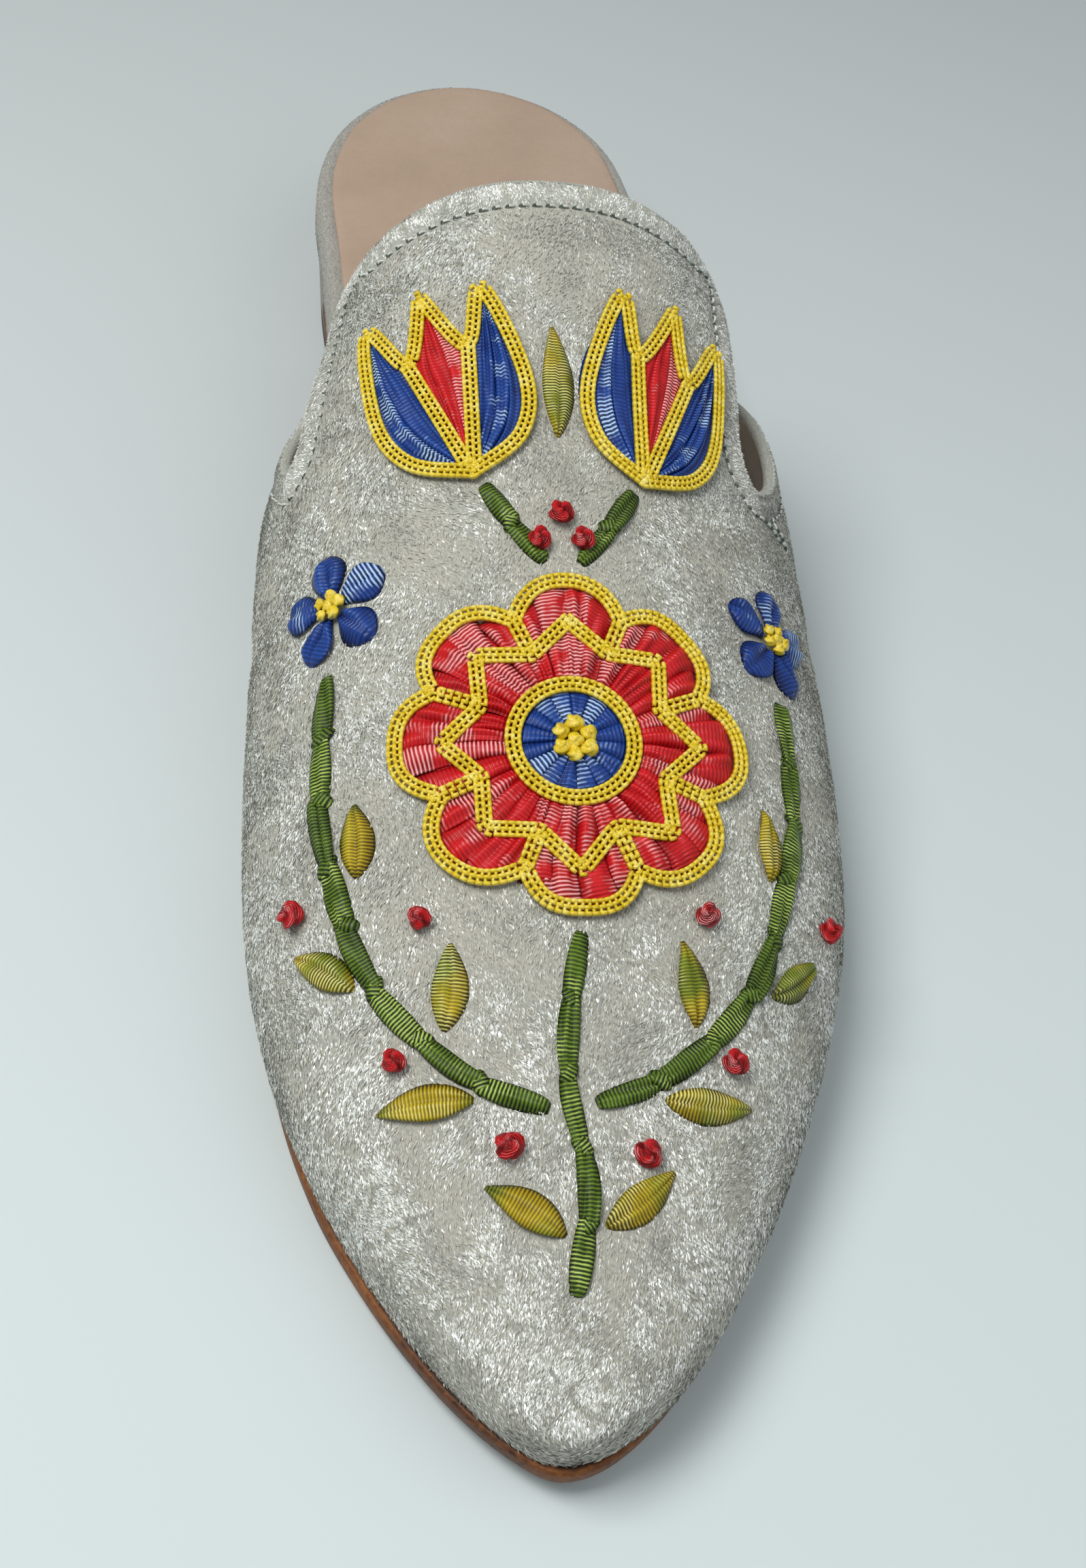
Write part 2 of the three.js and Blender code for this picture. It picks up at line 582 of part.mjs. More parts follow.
// Outline of a tulip head standing on its foot.
function tulipOutline() {
  const t = TULIP;
  const side = new THREE.SplineCurve([
    new THREE.Vector2(0, 0),
    new THREE.Vector2(t.halfWidth * 0.72, t.length * 0.14),
    new THREE.Vector2(t.halfWidth, t.length * 0.45),
    new THREE.Vector2(t.tipSpread, t.length),
    new THREE.Vector2(t.tipSpread * 0.5, t.cleft),
    new THREE.Vector2(0, t.length * 1.06),
  ]).getPoints(3 * ROUND_STEPS);
  const mirrored = side.slice(1, -1).reverse().map((p) => new THREE.Vector2(-p.x, p.y));
  return [...side, ...mirrored];
}

// An outline drawn in a frame on the last, pulled through the skin.
function flatCutter(outline, frame) {
  const REACH = 16;
  const block = new THREE.ExtrudeGeometry(new THREE.Shape(outline), { depth: 2 * REACH, bevelEnabled: false });
  block.translate(0, 0, -REACH);
  return solid(block.applyMatrix4(frame));
}

// A band that follows a line on the last, square to its surface; halfWidth takes the share of the way.
function bandCutter(line, halfWidth) {
  const REACH = 4;
  const places = line.map((p) => onLast(p.x, p.y));
  const rings = places.map(({ point, outwards }, k) => {
    const before = places[Math.max(k - 1, 0)].point;
    const after = places[Math.min(k + 1, places.length - 1)].point;
    const across = after.clone().sub(before).cross(outwards).setLength(halfWidth(k / (places.length - 1)));
    const corner = (side, height) =>
      point.clone().addScaledVector(across, side).addScaledVector(outwards, height);
    return [corner(-1, -REACH), corner(1, -REACH), corner(1, REACH), corner(-1, REACH)];
  });
  return solid(loft(rings));
}

function stemCutter(route) {
  const line = new THREE.SplineCurve(route.map(([x, y]) => new THREE.Vector2(x, y)));
  return bandCutter(line.getPoints(3 * (route.length - 1)), () => STEM_WIDTH / 2);
}

// A leaf is a lens from its foot to its tip.
function leafCutter({ across, along, turn, length }) {
  const BLUNT = 0.3;
  const frame = frameOn(across, along, -THREE.MathUtils.degToRad(turn));
  const line = Array.from({ length: ROUND_STEPS + 1 }, (_, k) =>
    new THREE.Vector3(0, (length * k) / ROUND_STEPS, 0).applyMatrix4(frame),
  );
  return bandCutter(line, (share) => BLUNT + LEAF_HALF_WIDTH * Math.sin(Math.PI * share ** 0.85));
}

// All the embroidery is cut from the skin between two lifts of the last.
function makeEmbroidery() {
  const CLEAR = 12;
  const skin = lastSolid(PIECE_GAP + BRAID_LIFT, 0, 0).subtract(lastSolid(PIECE_GAP, CLEAR, CLEAR));
  const raised = (name, cutter, material) => piece(name, skin.intersect(cutter), material);
  const flower = (name, form, colour) => {
    const frame = frameOn(form.across, form.along, 0);
    const hole = flatCutter(disc(form.eyeRadius + EYE_GAP), frame);
    return [
      raised(name, flatCutter(flowerOutline(form), frame).subtract(hole), colour.head),
      raised(name + "_eye", flatCutter(disc(form.eyeRadius), frame), colour.eye),
    ];
  };
  const tulip = ({ name, across, along, lean }) =>
    raised(name, flatCutter(tulipOutline(), frameOn(across, along, lean)), BLUE);
  return [
    ...flower("rosette", ROSETTE, { head: RED, eye: BLUE }),
    ...TULIPS.map(tulip),
    ...DAISIES.flatMap((daisy) => flower(daisy.name, { ...DAISY, ...daisy }, { head: BLUE, eye: GOLD })),
    ...Object.entries(STEMS).map(([name, route]) => raised(name, stemCutter(route), GREEN)),
    ...LEAVES.map((leaf) => raised(leaf.name, leafCutter(leaf), LIME)),
  ];
}

const shoe = new THREE.Group();
shoe.add(makeUpper(), makeOutsole(), makeInsole(), makeSock(), ...makeHeel(), ...makeEmbroidery());
const footprintBox = new THREE.Box3().setFromObject(shoe);
const middle = footprintBox.getCenter(new THREE.Vector3());
shoe.position.set(-middle.x, -middle.y, 0);

const mule = new THREE.Group();
mule.add(shoe);
export default mule;
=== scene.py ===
"""Dresses the left velvet mule: crushed pile, ribbon embroidery, leather sole and a plain studio."""

from __future__ import annotations

import logging
import math
from dataclasses import dataclass, field
from enum import Enum
from typing import Any, Callable, NamedTuple, Sequence

import bmesh
import bpy
import numpy as np
from bpy.types import Material, Mesh, Node, NodeSocket, NodeTree, Object
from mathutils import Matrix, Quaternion, Vector, noise

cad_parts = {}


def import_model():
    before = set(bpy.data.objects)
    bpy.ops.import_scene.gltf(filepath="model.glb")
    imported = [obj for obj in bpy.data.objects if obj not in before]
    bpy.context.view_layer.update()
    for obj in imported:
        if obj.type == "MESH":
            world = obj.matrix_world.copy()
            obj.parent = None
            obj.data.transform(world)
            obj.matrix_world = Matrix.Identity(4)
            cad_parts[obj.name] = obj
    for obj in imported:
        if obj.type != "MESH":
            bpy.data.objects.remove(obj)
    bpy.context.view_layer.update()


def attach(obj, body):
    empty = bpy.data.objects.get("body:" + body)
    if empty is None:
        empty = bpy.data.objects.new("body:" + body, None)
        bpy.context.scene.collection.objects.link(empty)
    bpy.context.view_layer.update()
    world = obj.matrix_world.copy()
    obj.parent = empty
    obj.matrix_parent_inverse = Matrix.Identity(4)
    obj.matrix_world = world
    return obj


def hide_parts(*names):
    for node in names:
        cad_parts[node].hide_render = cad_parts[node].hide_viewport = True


LOG = logging.getLogger("mule")
MM = 0.001
SHOE_LENGTH = 268.0
CENTRE_ACROSS = 6.041  # middle of the shoe's plan box, in the maker's own across measure
PIECE_GAP = 0.3
IMAGE_WIDTH, IMAGE_HEIGHT = 1596, 2304

Grid = np.ndarray
Face = Sequence[int]
Spot = tuple[float, float, float]
Colour = tuple[float, float, float]
Spread = Callable[[Grid, Grid], tuple[Grid, Grid]]  # drawing coordinates to points and outward ways


class Slot(Enum):
    """Names of the shoe's finishes."""

    VELVET = "velvet"
    SOLE = "sole_leather"
    SOCK = "sock_leather"
    HEEL = "heel_cover"
    LIFT = "lift_rubber"
    RED = "red_ribbon"
    BLUE = "blue_ribbon"
    GOLD = "gold_braid"
    GREEN = "green_ribbon"
    LEAF = "leaf_ribbon"


def smoothstep(value: Grid | float, low: float, high: float) -> Grid:
    """Eases from 0 at low to 1 at high."""
    share = np.clip((np.asarray(value, float) - low) / (high - low), 0.0, 1.0)
    return share * share * (3.0 - 2.0 * share)


def unit(vectors: Grid) -> Grid:
    """Scales vectors along the last axis to length one."""
    return vectors / np.maximum(np.linalg.norm(vectors, axis=-1, keepdims=True), 1e-12)


def through(points: Sequence[tuple[float, float]], steps: int) -> Grid:
    """Smooth open path through flat points.

    Args:
        points: The points to pass through.
        steps: Number of points returned.

    Returns:
        An array of steps rows of two numbers.
    """
    knots = np.asarray(points, float)
    place = np.linspace(0.0, len(knots) - 1.0, steps)
    low = np.clip(place.astype(int), 0, len(knots) - 2)
    share = (place - low)[:, None]
    before, after = knots[np.maximum(low - 1, 0)], knots[np.minimum(low + 2, len(knots) - 1)]
    start, end = knots[low], knots[low + 1]
    leave, arrive = (end - before) / 2, (after - start) / 2
    bend = (2 * start - 2 * end + leave + arrive) * share + (3 * end - 3 * start - 2 * leave - arrive)
    return (bend * share + leave) * share + start


def evenly(path: Grid, spacing: float) -> Grid:
    """Points at an even spacing along a path of any dimension.

    Args:
        path: Points of the path.
        spacing: About how far apart the new points are.

    Returns:
        The new points, with both ends kept.
    """
    steps = np.linalg.norm(np.diff(path, axis=0), axis=1)
    run = np.concatenate([[0.0], np.cumsum(steps)])
    count = max(int(round(run[-1] / spacing)), 2)
    stops = np.linspace(0.0, run[-1], count + 1)
    return np.stack([np.interp(stops, run, column) for column in path.T], axis=1)


def depth_inside(points: Grid, outline: Grid) -> Grid:
    """How far flat points lie inside a closed outline.

    Args:
        points: Rows of two numbers.
        outline: Corners of the outline.

    Returns:
        Depth of each point; negative outside.
    """
    start, end = outline, np.roll(outline, -1, axis=0)
    edge = end - start
    offset = points[:, None, :] - start[None]
    share = np.clip((offset * edge).sum(-1) / np.maximum((edge * edge).sum(-1), 1e-12), 0.0, 1.0)
    away = np.linalg.norm(offset - share[..., None] * edge, axis=-1).min(axis=1)
    level = points[:, 1][:, None]
    rises = (start[:, 1] <= level) != (end[:, 1] <= level)
    lift = np.where(np.abs(edge[:, 1]) < 1e-12, 1e-12, edge[:, 1])
    crossing = start[:, 0] + (level - start[:, 1]) / lift * edge[:, 0]
    inside = (rises & (points[:, 0][:, None] < crossing)).sum(axis=1) % 2 == 1
    return np.where(inside, away, -away)


class Curve:
    """Smooth curve through one column of a table, by cubic spans."""

    def __init__(self, at: Grid, value: Grid) -> None:
        """Keeps the column and works out its slopes.

        Args:
            at: Places along the column.
            value: Values there.
        """
        self.at, self.value = np.asarray(at, float), np.asarray(value, float)
        index = np.arange(len(self.at))
        before, after = np.maximum(index - 1, 0), np.minimum(index + 1, len(self.at) - 1)
        self.slope = (self.value[after] - self.value[before]) / (self.at[after] - self.at[before])

    def __call__(self, place: Grid | float) -> Grid:
        """Value at a place, held at the ends.

        Args:
            place: One place or many.

        Returns:
            The values.
        """
        place = np.clip(np.asarray(place, float), self.at[0], self.at[-1])
        low = np.clip(np.searchsorted(self.at, place, side="left") - 1, 0, len(self.at) - 2)
        span = self.at[low + 1] - self.at[low]
        share = (place - self.at[low]) / span
        rise = share * share * (3 - 2 * share) * (self.value[low + 1] - self.value[low])
        leave = share * (1 - share) ** 2 * self.slope[low]
        arrive = share * share * (1 - share) * self.slope[low + 1]
        return self.value[low] + rise + span * (leave - arrive)


class SoleRow(NamedTuple):
    """Inner and outer edge of the sole at one place along the shoe, in millimetres."""

    along: float
    inner: float
    outer: float


class LastRow(NamedTuple):
    """Cross-section of the last at one place along the shoe, in millimetres."""

    along: float
    inner: float
    outer: float
    ridge: float
    top: float
    belly: float
    full_inner: float
    full_outer: float


FOOTPRINT = (
    SoleRow(0, 0, 0),
    SoleRow(2, -4.8, 6.6),
    SoleRow(6, -9.5, 12),
    SoleRow(15, -17, 20.2),
    SoleRow(27, -24.4, 28.2),
    SoleRow(40, -30.6, 35.4),
    SoleRow(56, -35.2, 42.2),
    SoleRow(76, -37.4, 47.6),
    SoleRow(98, -37.4, 50),
    SoleRow(120, -36, 50),
    SoleRow(145, -33, 48),
    SoleRow(168, -27.8, 43.6),
    SoleRow(190, -24.8, 38.8),
    SoleRow(212, -25.2, 35.6),
    SoleRow(234, -25.8, 34),
    SoleRow(250, -21.8, 30.4),
    SoleRow(261, -13.6, 22.4),
    SoleRow(266, -5.4, 14.2),
    SoleRow(268, 4.4, 4.4),
)

LAST_ROWS = (
    LastRow(1.2, 0.2, 0.2, 0.2, 14, 4.2, 2.5, 2.5),
    LastRow(3, -5.4, 7.4, 0.5, 16.6, 4.3, 2.5, 2.5),
    LastRow(6, -9, 12.3, 0.8, 18.1, 4.4, 2.45, 2.45),
    LastRow(12, -14, 18.4, 1.1, 19.9, 4.7, 2.4, 2.4),
    LastRow(21, -20.2, 25, 1.5, 22, 5.1, 2.35, 2.35),
    LastRow(31, -26, 31.2, 1.9, 24.6, 5.6, 2.3, 2.3),
    LastRow(42, -31.4, 36.9, 2.4, 27.9, 6.2, 2.25, 2.2),
    LastRow(57, -36.6, 43.4, 3, 32.8, 7, 2.2, 2.1),
    LastRow(75, -39.6, 48.8, 3.6, 38.6, 8, 2.15, 2),
    LastRow(96, -40, 51.4, 4.3, 44.8, 9, 2.1, 1.9),
    LastRow(122, -38.9, 52.2, 5.1, 52, 10, 2.1, 1.8),
    LastRow(140, -37.8, 51.7, 5.7, 57.4, 10, 2.1, 1.76),
    LastRow(150, -36.8, 51, 6, 60.4, 10, 2.1, 1.8),
    LastRow(160, -33.9, 49, 6.4, 63.3, 9.2, 2.15, 1.95),
    LastRow(170, -30, 46.2, 6.8, 66.1, 8.2, 2.2, 2.1),
    LastRow(180, -27.1, 42.6, 7.2, 68.8, 7.2, 2.3, 2.25),
    LastRow(190, -25.5, 39.6, 7.4, 71.2, 6.2, 2.35, 2.3),
    LastRow(204, -24.8, 37.4, 7.6, 74, 5.5, 2.35, 2.3),
)


def column(rows: Sequence[NamedTuple], name: str) -> Grid:
    """One named column of a table."""
    return np.array([getattr(row, name) for row in rows], float)


@dataclass
class SoleShape:
    """Outline and heights of everything under the foot, in millimetres."""

    thickness: float = 3.4
    toe_spring: float = 4.2
    tread_start: float = 50.0
    tread_end: float = 114.0
    breast: float = 210.0
    seat_height: float = 20.0
    toe_welt: float = 1.2
    waist_welt: float = 0.4
    front_board: float = 3.5
    rim_board: float = 7.2
    wing_end: float = 189.0

    def __post_init__(self) -> None:
        """Makes the two edge curves."""
        turns = self.turn(column(FOOTPRINT, "along"))
        self.edges = {
            -1: Curve(turns, column(FOOTPRINT, "inner")), 1: Curve(turns, column(FOOTPRINT, "outer")),
        }

    @staticmethod
    def turn(along: Grid | float) -> Grid:
        """Angle that spaces stations closely at the toe and the heel."""
        return np.arccos(np.clip(1 - 2 * np.asarray(along, float) / SHOE_LENGTH, -1.0, 1.0))

    @staticmethod
    def along(turn: Grid) -> Grid:
        """Place along the shoe at an angle."""
        return (1 - np.cos(turn)) / 2 * SHOE_LENGTH

    def across(self, side: int, along: Grid) -> Grid:
        """Edge of the sole on the inner (-1) or outer (1) side."""
        return self.edges[side](self.turn(along))

    def bottom(self, along: Grid) -> Grid:
        """Underside of the sole over the floor."""
        spring = self.toe_spring * np.maximum(0.0, 1 - np.asarray(along) / self.tread_start) ** 2
        return spring + (self.seat_height - self.thickness) * smoothstep(along, self.tread_end, self.breast)

    def top(self, along: Grid) -> Grid:
        """Top of the sole leather."""
        return self.bottom(along) + self.thickness

    def board_top(self, along: Grid) -> Grid:
        """Top of the velvet-wrapped foot board."""
        grow = smoothstep(along, self.tread_end, self.wing_end)
        return self.top(along) + PIECE_GAP + self.front_board + (self.rim_board - self.front_board) * grow

    def welt(self, along: Grid) -> Grid:
        """How far the sole stands out past the upper's foot."""
        narrowing = smoothstep(along, self.tread_start, self.tread_end)
        return self.toe_welt + (self.waist_welt - self.toe_welt) * narrowing

    def outline(self, side: int, turn: Grid) -> Grid:
        """Points of the outline at angles on one side, as across and along."""
        turn = np.clip(turn, 0.0, math.pi)
        return np.stack([self.edges[side](turn), self.along(turn)], axis=-1)

    def edge(self, side: int, turns: Grid, inset: Grid | float) -> Grid:
        """Points of the outline moved inwards.

        Args:
            side: The inner (-1) or outer (1) side.
            turns: Angles along the outline.
            inset: How far the points move.

        Returns:
            Rows of across and along.
        """
        step = 1e-3
        forward = unit(self.outline(side, turns + step) - self.outline(side, turns - step))
        inwards = np.stack([-side * forward[:, 1], side * forward[:, 0]], axis=-1)
        return self.outline(side, turns) + inwards * np.broadcast_to(inset, turns.shape)[:, None]


@dataclass
class LastShape:
    """The form that the upper is pulled over, in millimetres."""

    sole: SoleShape
    belly_share: float = 2 / 7

    def __post_init__(self) -> None:
        """Makes one curve for each column of the table."""
        self.start, self.end = LAST_ROWS[0].along, LAST_ROWS[-1].along
        places = self.station(column(LAST_ROWS, "along"))
        self.columns = {name: Curve(places, column(LAST_ROWS, name)) for name in LastRow._fields[1:]}

    def station(self, along: Grid | float) -> Grid:
        """Place from 0 at the toe to 1 at the back, close-set at the toe."""
        return np.sqrt(np.clip((np.asarray(along, float) - self.start) / (self.end - self.start), 0.0, 1.0))

    def at(self, station: Grid) -> dict[str, Grid]:
        """Every column of the table at a station."""
        return {name: curve(station) for name, curve in self.columns.items()}

    def point(self, station: Grid, girth: Grid) -> Grid:
        """Point of the surface.

        Args:
            station: From 0 at the toe to 1 at the back.
            girth: From 0 at the inner sole edge over the ridge to 1 at the outer sole edge.

        Returns:
            Points as across, along and up.
        """
        station, girth = np.broadcast_arrays(np.asarray(station, float), np.asarray(girth, float))
        along = self.start + (self.end - self.start) * station**2
        row = self.at(station)
        inner = girth < 0.5
        widest = np.where(inner, row["inner"], row["outer"]) - row["ridge"]
        rim = np.where(inner, self.sole.across(-1, along), self.sole.across(1, along)) - row["ridge"]
        reach = np.minimum(np.abs(rim) - self.sole.welt(along), np.abs(widest))
        foot = np.where(inner, -1.0, 1.0) * np.maximum(reach, np.abs(widest) / 2)
        floor = self.sole.top(along) + PIECE_GAP
        belly = floor + row["belly"]
        climb = 1 - np.abs(2 * girth - 1)
        low = np.clip(climb / self.belly_share, 0.0, 1.0) * math.pi / 2
        high = np.clip((climb - self.belly_share) / (1 - self.belly_share), 0.0, 1.0) * math.pi / 2
        power = 2 / np.where(inner, row["full_inner"], row["full_outer"])
        below = climb < self.belly_share
        across_low = foot + (widest - foot) * np.sin(low)
        across_high = widest * np.maximum(np.cos(high), 0.0) ** power
        up_low = belly - row["belly"] * np.cos(low)
        up_high = belly + (row["top"] - belly) * np.sin(high) ** power
        across = row["ridge"] + np.where(below, across_low, across_high)
        return np.stack([across, along, np.where(below, up_low, up_high)], axis=-1)

    def normal(self, station: Grid, girth: Grid) -> Grid:
        """Way out of the surface at a station and girth.

        Args:
            station: From 0 at the toe to 1 at the back.
            girth: From 0 at the inner sole edge to 1 at the outer one.

        Returns:
            Unit vectors.
        """
        step = 2e-3
        next_girth, last_girth = np.minimum(girth + step, 1.0), np.maximum(girth - step, 0.0)
        round_ = self.point(station, next_girth) - self.point(station, last_girth)
        down = self.point(station + step, girth) - self.point(np.maximum(station - step, 1e-3), girth)
        return unit(np.cross(round_, down))

    def height(self, across: Grid, along: Grid) -> Grid:
        """Height of the upper part of the surface over a point in plan.

        Args:
            across: Places across the shoe.
            along: Places along it.

        Returns:
            Heights.
        """
        row = self.at(self.station(along))
        inner = across < row["ridge"]
        widest = np.abs(np.where(inner, row["inner"], row["outer"]) - row["ridge"])
        share = np.clip(np.abs(across - row["ridge"]) / np.maximum(widest, 0.1), 0.0, 0.998)
        full = np.where(inner, row["full_inner"], row["full_outer"])
        belly = self.sole.top(along) + PIECE_GAP + row["belly"]
        return belly + (row["top"] - belly) * (1 - share**full) ** (1 / full)

    def over(self, across: Grid, along: Grid) -> tuple[Grid, Grid]:
        """Points and outward ways over places in plan.

        Args:
            across: Places across the shoe.
            along: Places along it.

        Returns:
            The points and the ways.
        """
        step = 0.25
        up = self.height(across, along)
        slope_x = (self.height(across + step, along) - self.height(across - step, along)) / (2 * step)
        slope_y = (self.height(across, along + step) - self.height(across, along - step)) / (2 * step)
        ways = unit(np.stack([-slope_x, -slope_y, np.ones_like(slope_x)], axis=-1))
        return np.stack([across, along, up], axis=-1), ways


@dataclass
class DrawingFrame:
    """A flat drawing frame on the last: sideways, up the foot and outwards."""

    last: LastShape
    across: float
    along: float
    turn: float = 0.0

    def __post_init__(self) -> None:
        """Finds the frame's origin and its three ways."""
        points, ways = self.last.over(np.array([self.across]), np.array([self.along]))
        self.origin, self.out = points[0], ways[0]
        side = unit(np.cross((0.0, 1.0, 0.0), self.out))
        up = np.cross(self.out, side)
        cos, sin = math.cos(self.turn), math.sin(self.turn)
        self.side, self.up = cos * side + sin * up, cos * up - sin * side

    def __call__(self, sideways: Grid, upwards: Grid) -> tuple[Grid, Grid]:
        """Points and outward ways of the surface under drawn points.

        Args:
            sideways: Drawn places across the frame.
            upwards: Drawn places up the frame.

        Returns:
            The points and the ways.
        """
        reach = 18.0
        base = self.origin + sideways[..., None] * self.side + upwards[..., None] * self.up
        low, high = np.full(sideways.shape, -reach), np.full(sideways.shape, reach)
        for _ in range(26):
            half = (low + high) / 2
            spot = base + half[..., None] * self.out
            outside = spot[..., 2] > self.last.height(spot[..., 0], spot[..., 1])
            high, low = np.where(outside, half, high), np.where(outside, low, half)
        spot = base + ((low + high) / 2)[..., None] * self.out
        return self.last.over(spot[..., 0], spot[..., 1])

    def flat(self, points: Grid) -> tuple[Grid, Grid]:
        """Drawn coordinates of points in space, and how far off the drawing they lie."""
        offset = points - self.origin
        return np.stack([offset @ self.side, offset @ self.up], axis=-1), np.abs(offset @ self.out)


def in_frame(points: Grid) -> list[list[float]]:
    """Takes points from the maker's millimetres to metres in the shared frame."""
    return ((points - (CENTRE_ACROSS, SHOE_LENGTH / 2, 0.0)) * MM).tolist()


def linked(name: str, data: Any) -> Object:
    """Puts a mesh, a light or a camera into the scene as a new object.

    Args:
        name: Object name.
        data: The data.

    Returns:
        The new object.
    """
    thing = bpy.data.objects.new(name, data)
    bpy.context.scene.collection.objects.link(thing)
    return thing


def map_cloth(mesh: Mesh, cloth: Grid) -> None:
    """Writes a mesh's cloth map.

    Args:
        mesh: The mesh.
        cloth: Rows of two numbers in millimetres, one for each point.
    """
    corners = np.empty(len(mesh.loops), np.int32)
    mesh.loops.foreach_get("vertex_index", corners)
    mesh.uv_layers.new(name="cloth").data.foreach_set("uv", cloth[corners].astype(np.float32).ravel())


def keep_values(mesh: Mesh, label: str, values: Grid) -> None:
    """Keeps a named number or vector at each point of a mesh."""
    kind, key = ("FLOAT_VECTOR", "vector") if values.ndim == 2 else ("FLOAT", "value")
    mesh.attributes.new(label, kind, "POINT").data.foreach_set(key, values.astype(np.float32).ravel())


def smooth(mesh: Mesh) -> None:
    """Shades every face of a mesh smoothly."""
    mesh.polygons.foreach_set("use_smooth", np.ones(len(mesh.polygons), bool))


class Draft:
    """Vertices, faces and their maps, gathered for one mesh in millimetres."""

    def __init__(self) -> None:
        """Starts empty."""
        self.points: list[Grid] = []
        self.faces: list[Face] = []
        self.slots: list[int] = []
        self.maps: list[Grid] = []
        self.values: dict[str, list[Grid]] = {}
        self.count = 0

    def add(self, points: Grid, faces: Sequence[Face], cloth: Grid, **values: Grid | float) -> None:
        """Adds a patch in the first material slot.

        Args:
            points: Rows of across, along and up.
            faces: Corner numbers within the patch.
            cloth: Rows of two numbers in millimetres for the cloth map.
            values: Named numbers or vectors kept at each point.
        """
        size = len(points)
        self.points.append(points)
        self.maps.append(cloth)
        self.faces.extend([tuple(corner + self.count for corner in face) for face in faces])
        self.slots.extend([0] * len(faces))
        for name, value in values.items():
            value = np.asarray(value, float)
            kept = value if value.ndim and len(value) == size else np.full(size, float(value))
            self.values.setdefault(name, []).append(kept)
        self.count += size

    def piece(self, name: str, finishes: Sequence[Material], weld: bool = True) -> Object:
        """Makes the mesh object, in metres in the shared frame.

        Args:
            name: Object name.
            finishes: Materials, one for each slot.
            weld: Whether doubled points are merged, faces turned outwards and unused points dropped.

        Returns:
            The new object, linked into the scene.
        """
        mesh = bpy.data.meshes.new(name)
        mesh.from_pydata(in_frame(np.concatenate(self.points)), [], self.faces)
        map_cloth(mesh, np.concatenate(self.maps))
        for label, parts in self.values.items():
            keep_values(mesh, label, np.concatenate(parts))
        mesh.polygons.foreach_set("material_index", np.array(self.slots, np.int32))
        if weld:
            form = bmesh.new()
            form.from_mesh(mesh)
            bmesh.ops.remove_doubles(form, verts=form.verts, dist=2e-6)
            bmesh.ops.recalc_face_normals(form, faces=form.faces)
            loose = [point for point in form.verts if not point.link_faces]
            bmesh.ops.delete(form, geom=loose, context="VERTS")
            form.to_mesh(mesh)
            form.free()
        smooth(mesh)
        for finish in finishes:
            mesh.materials.append(finish)
        return linked(name, mesh)


def grid_faces(rows: int, columns: int, closed: bool = False) -> list[Face]:
    """Quads of a grid of points, numbered row by row.

    Args:
        rows: Rows of points.
        columns: Points in a row.
        closed: Whether each row runs back to its start.

    Returns:
        Corner numbers of each quad.
    """
    faces: list[Face] = []
    for row in range(rows - 1):
        low, high = row * columns, (row + 1) * columns
        for place in range(columns if closed else columns - 1):
            after = (place + 1) % columns
            faces.append((low + place, low + after, high + after, high + place))
    return faces


def tube_faces(rings: int, around: int, outwards: bool = True) -> list[Face]:
    """Quads of a closed tube of rings, and a face across each end.

    Args:
        rings: Rings of points.
        around: Points in a ring.
        outwards: Whether the faces keep the grid's own turn.

    Returns:
        Corner numbers of each face.
    """
    faces = grid_faces(rings, around, closed=True)
    faces.append(tuple(reversed(range(around))))
    faces.append(tuple(range((rings - 1) * around, rings * around)))
    return faces if outwards else [tuple(reversed(face)) for face in faces]


class Cut(NamedTuple):
    """A grid trimmed along a line: its rows, its faces and the line from end to end."""

    rows: Grid
    faces: list[Face]
    line: list[int]
    beside: list[int]


def trim(rows: Grid, quads: Sequence[Face], keep: Grid) -> Cut:
    """Cuts a grid along the line where keep passes zero.

    Args:
        rows: Everything known at each grid point.
        quads: Faces of the grid.
        keep: Positive at points that stay.

    Returns:
        The trimmed grid, with the cut line's points in order and a kept neighbour of each.
    """
    added: list[Grid] = []
    made: dict[tuple[int, int], int] = {}
    neighbour: dict[int, int] = {}
    faces: list[Face] = []
    follow: dict[int, int] = {}

    def crossing(first: int, second: int) -> int:
        """Number of the point where an edge meets the line, made once.

        Args:
            first: One end of the edge.
            second: Its other end.

        Returns:
            The point's number.
        """
        key = (min(first, second), max(first, second))
        if key not in made:
            share = keep[first] / (keep[first] - keep[second])
            added.append(rows[first] + (rows[second] - rows[first]) * share)
            made[key] = len(rows) + len(added) - 1
            neighbour[made[key]] = first if keep[first] > 0 else second
        return made[key]

    for quad in quads:
        signs = [keep[corner] > 0 for corner in quad]
        if all(signs):
            faces.append(quad)
            continue
        if not any(signs):
            continue
        outline: list[int] = []
        leave = enter = -1
        for k, corner in enumerate(quad):
            after = (k + 1) % len(quad)
            if signs[k]:
                outline.append(corner)
            if signs[k] != signs[after]:
                outline.append(crossing(corner, quad[after]))
                if signs[k]:
                    leave = outline[-1]
                else:
                    enter = outline[-1]
        faces.append(outline)
        follow[leave] = enter
    starts = [first for first in follow if first not in set(follow.values())]
    line = [starts[0] if starts else next(iter(follow))]
    while line[-1] in follow and len(line) <= len(follow):
        line.append(follow[line[-1]])
    every = np.concatenate([rows, np.array(added)]) if added else rows
    return Cut(every, faces, line, [neighbour[k] for k in line])


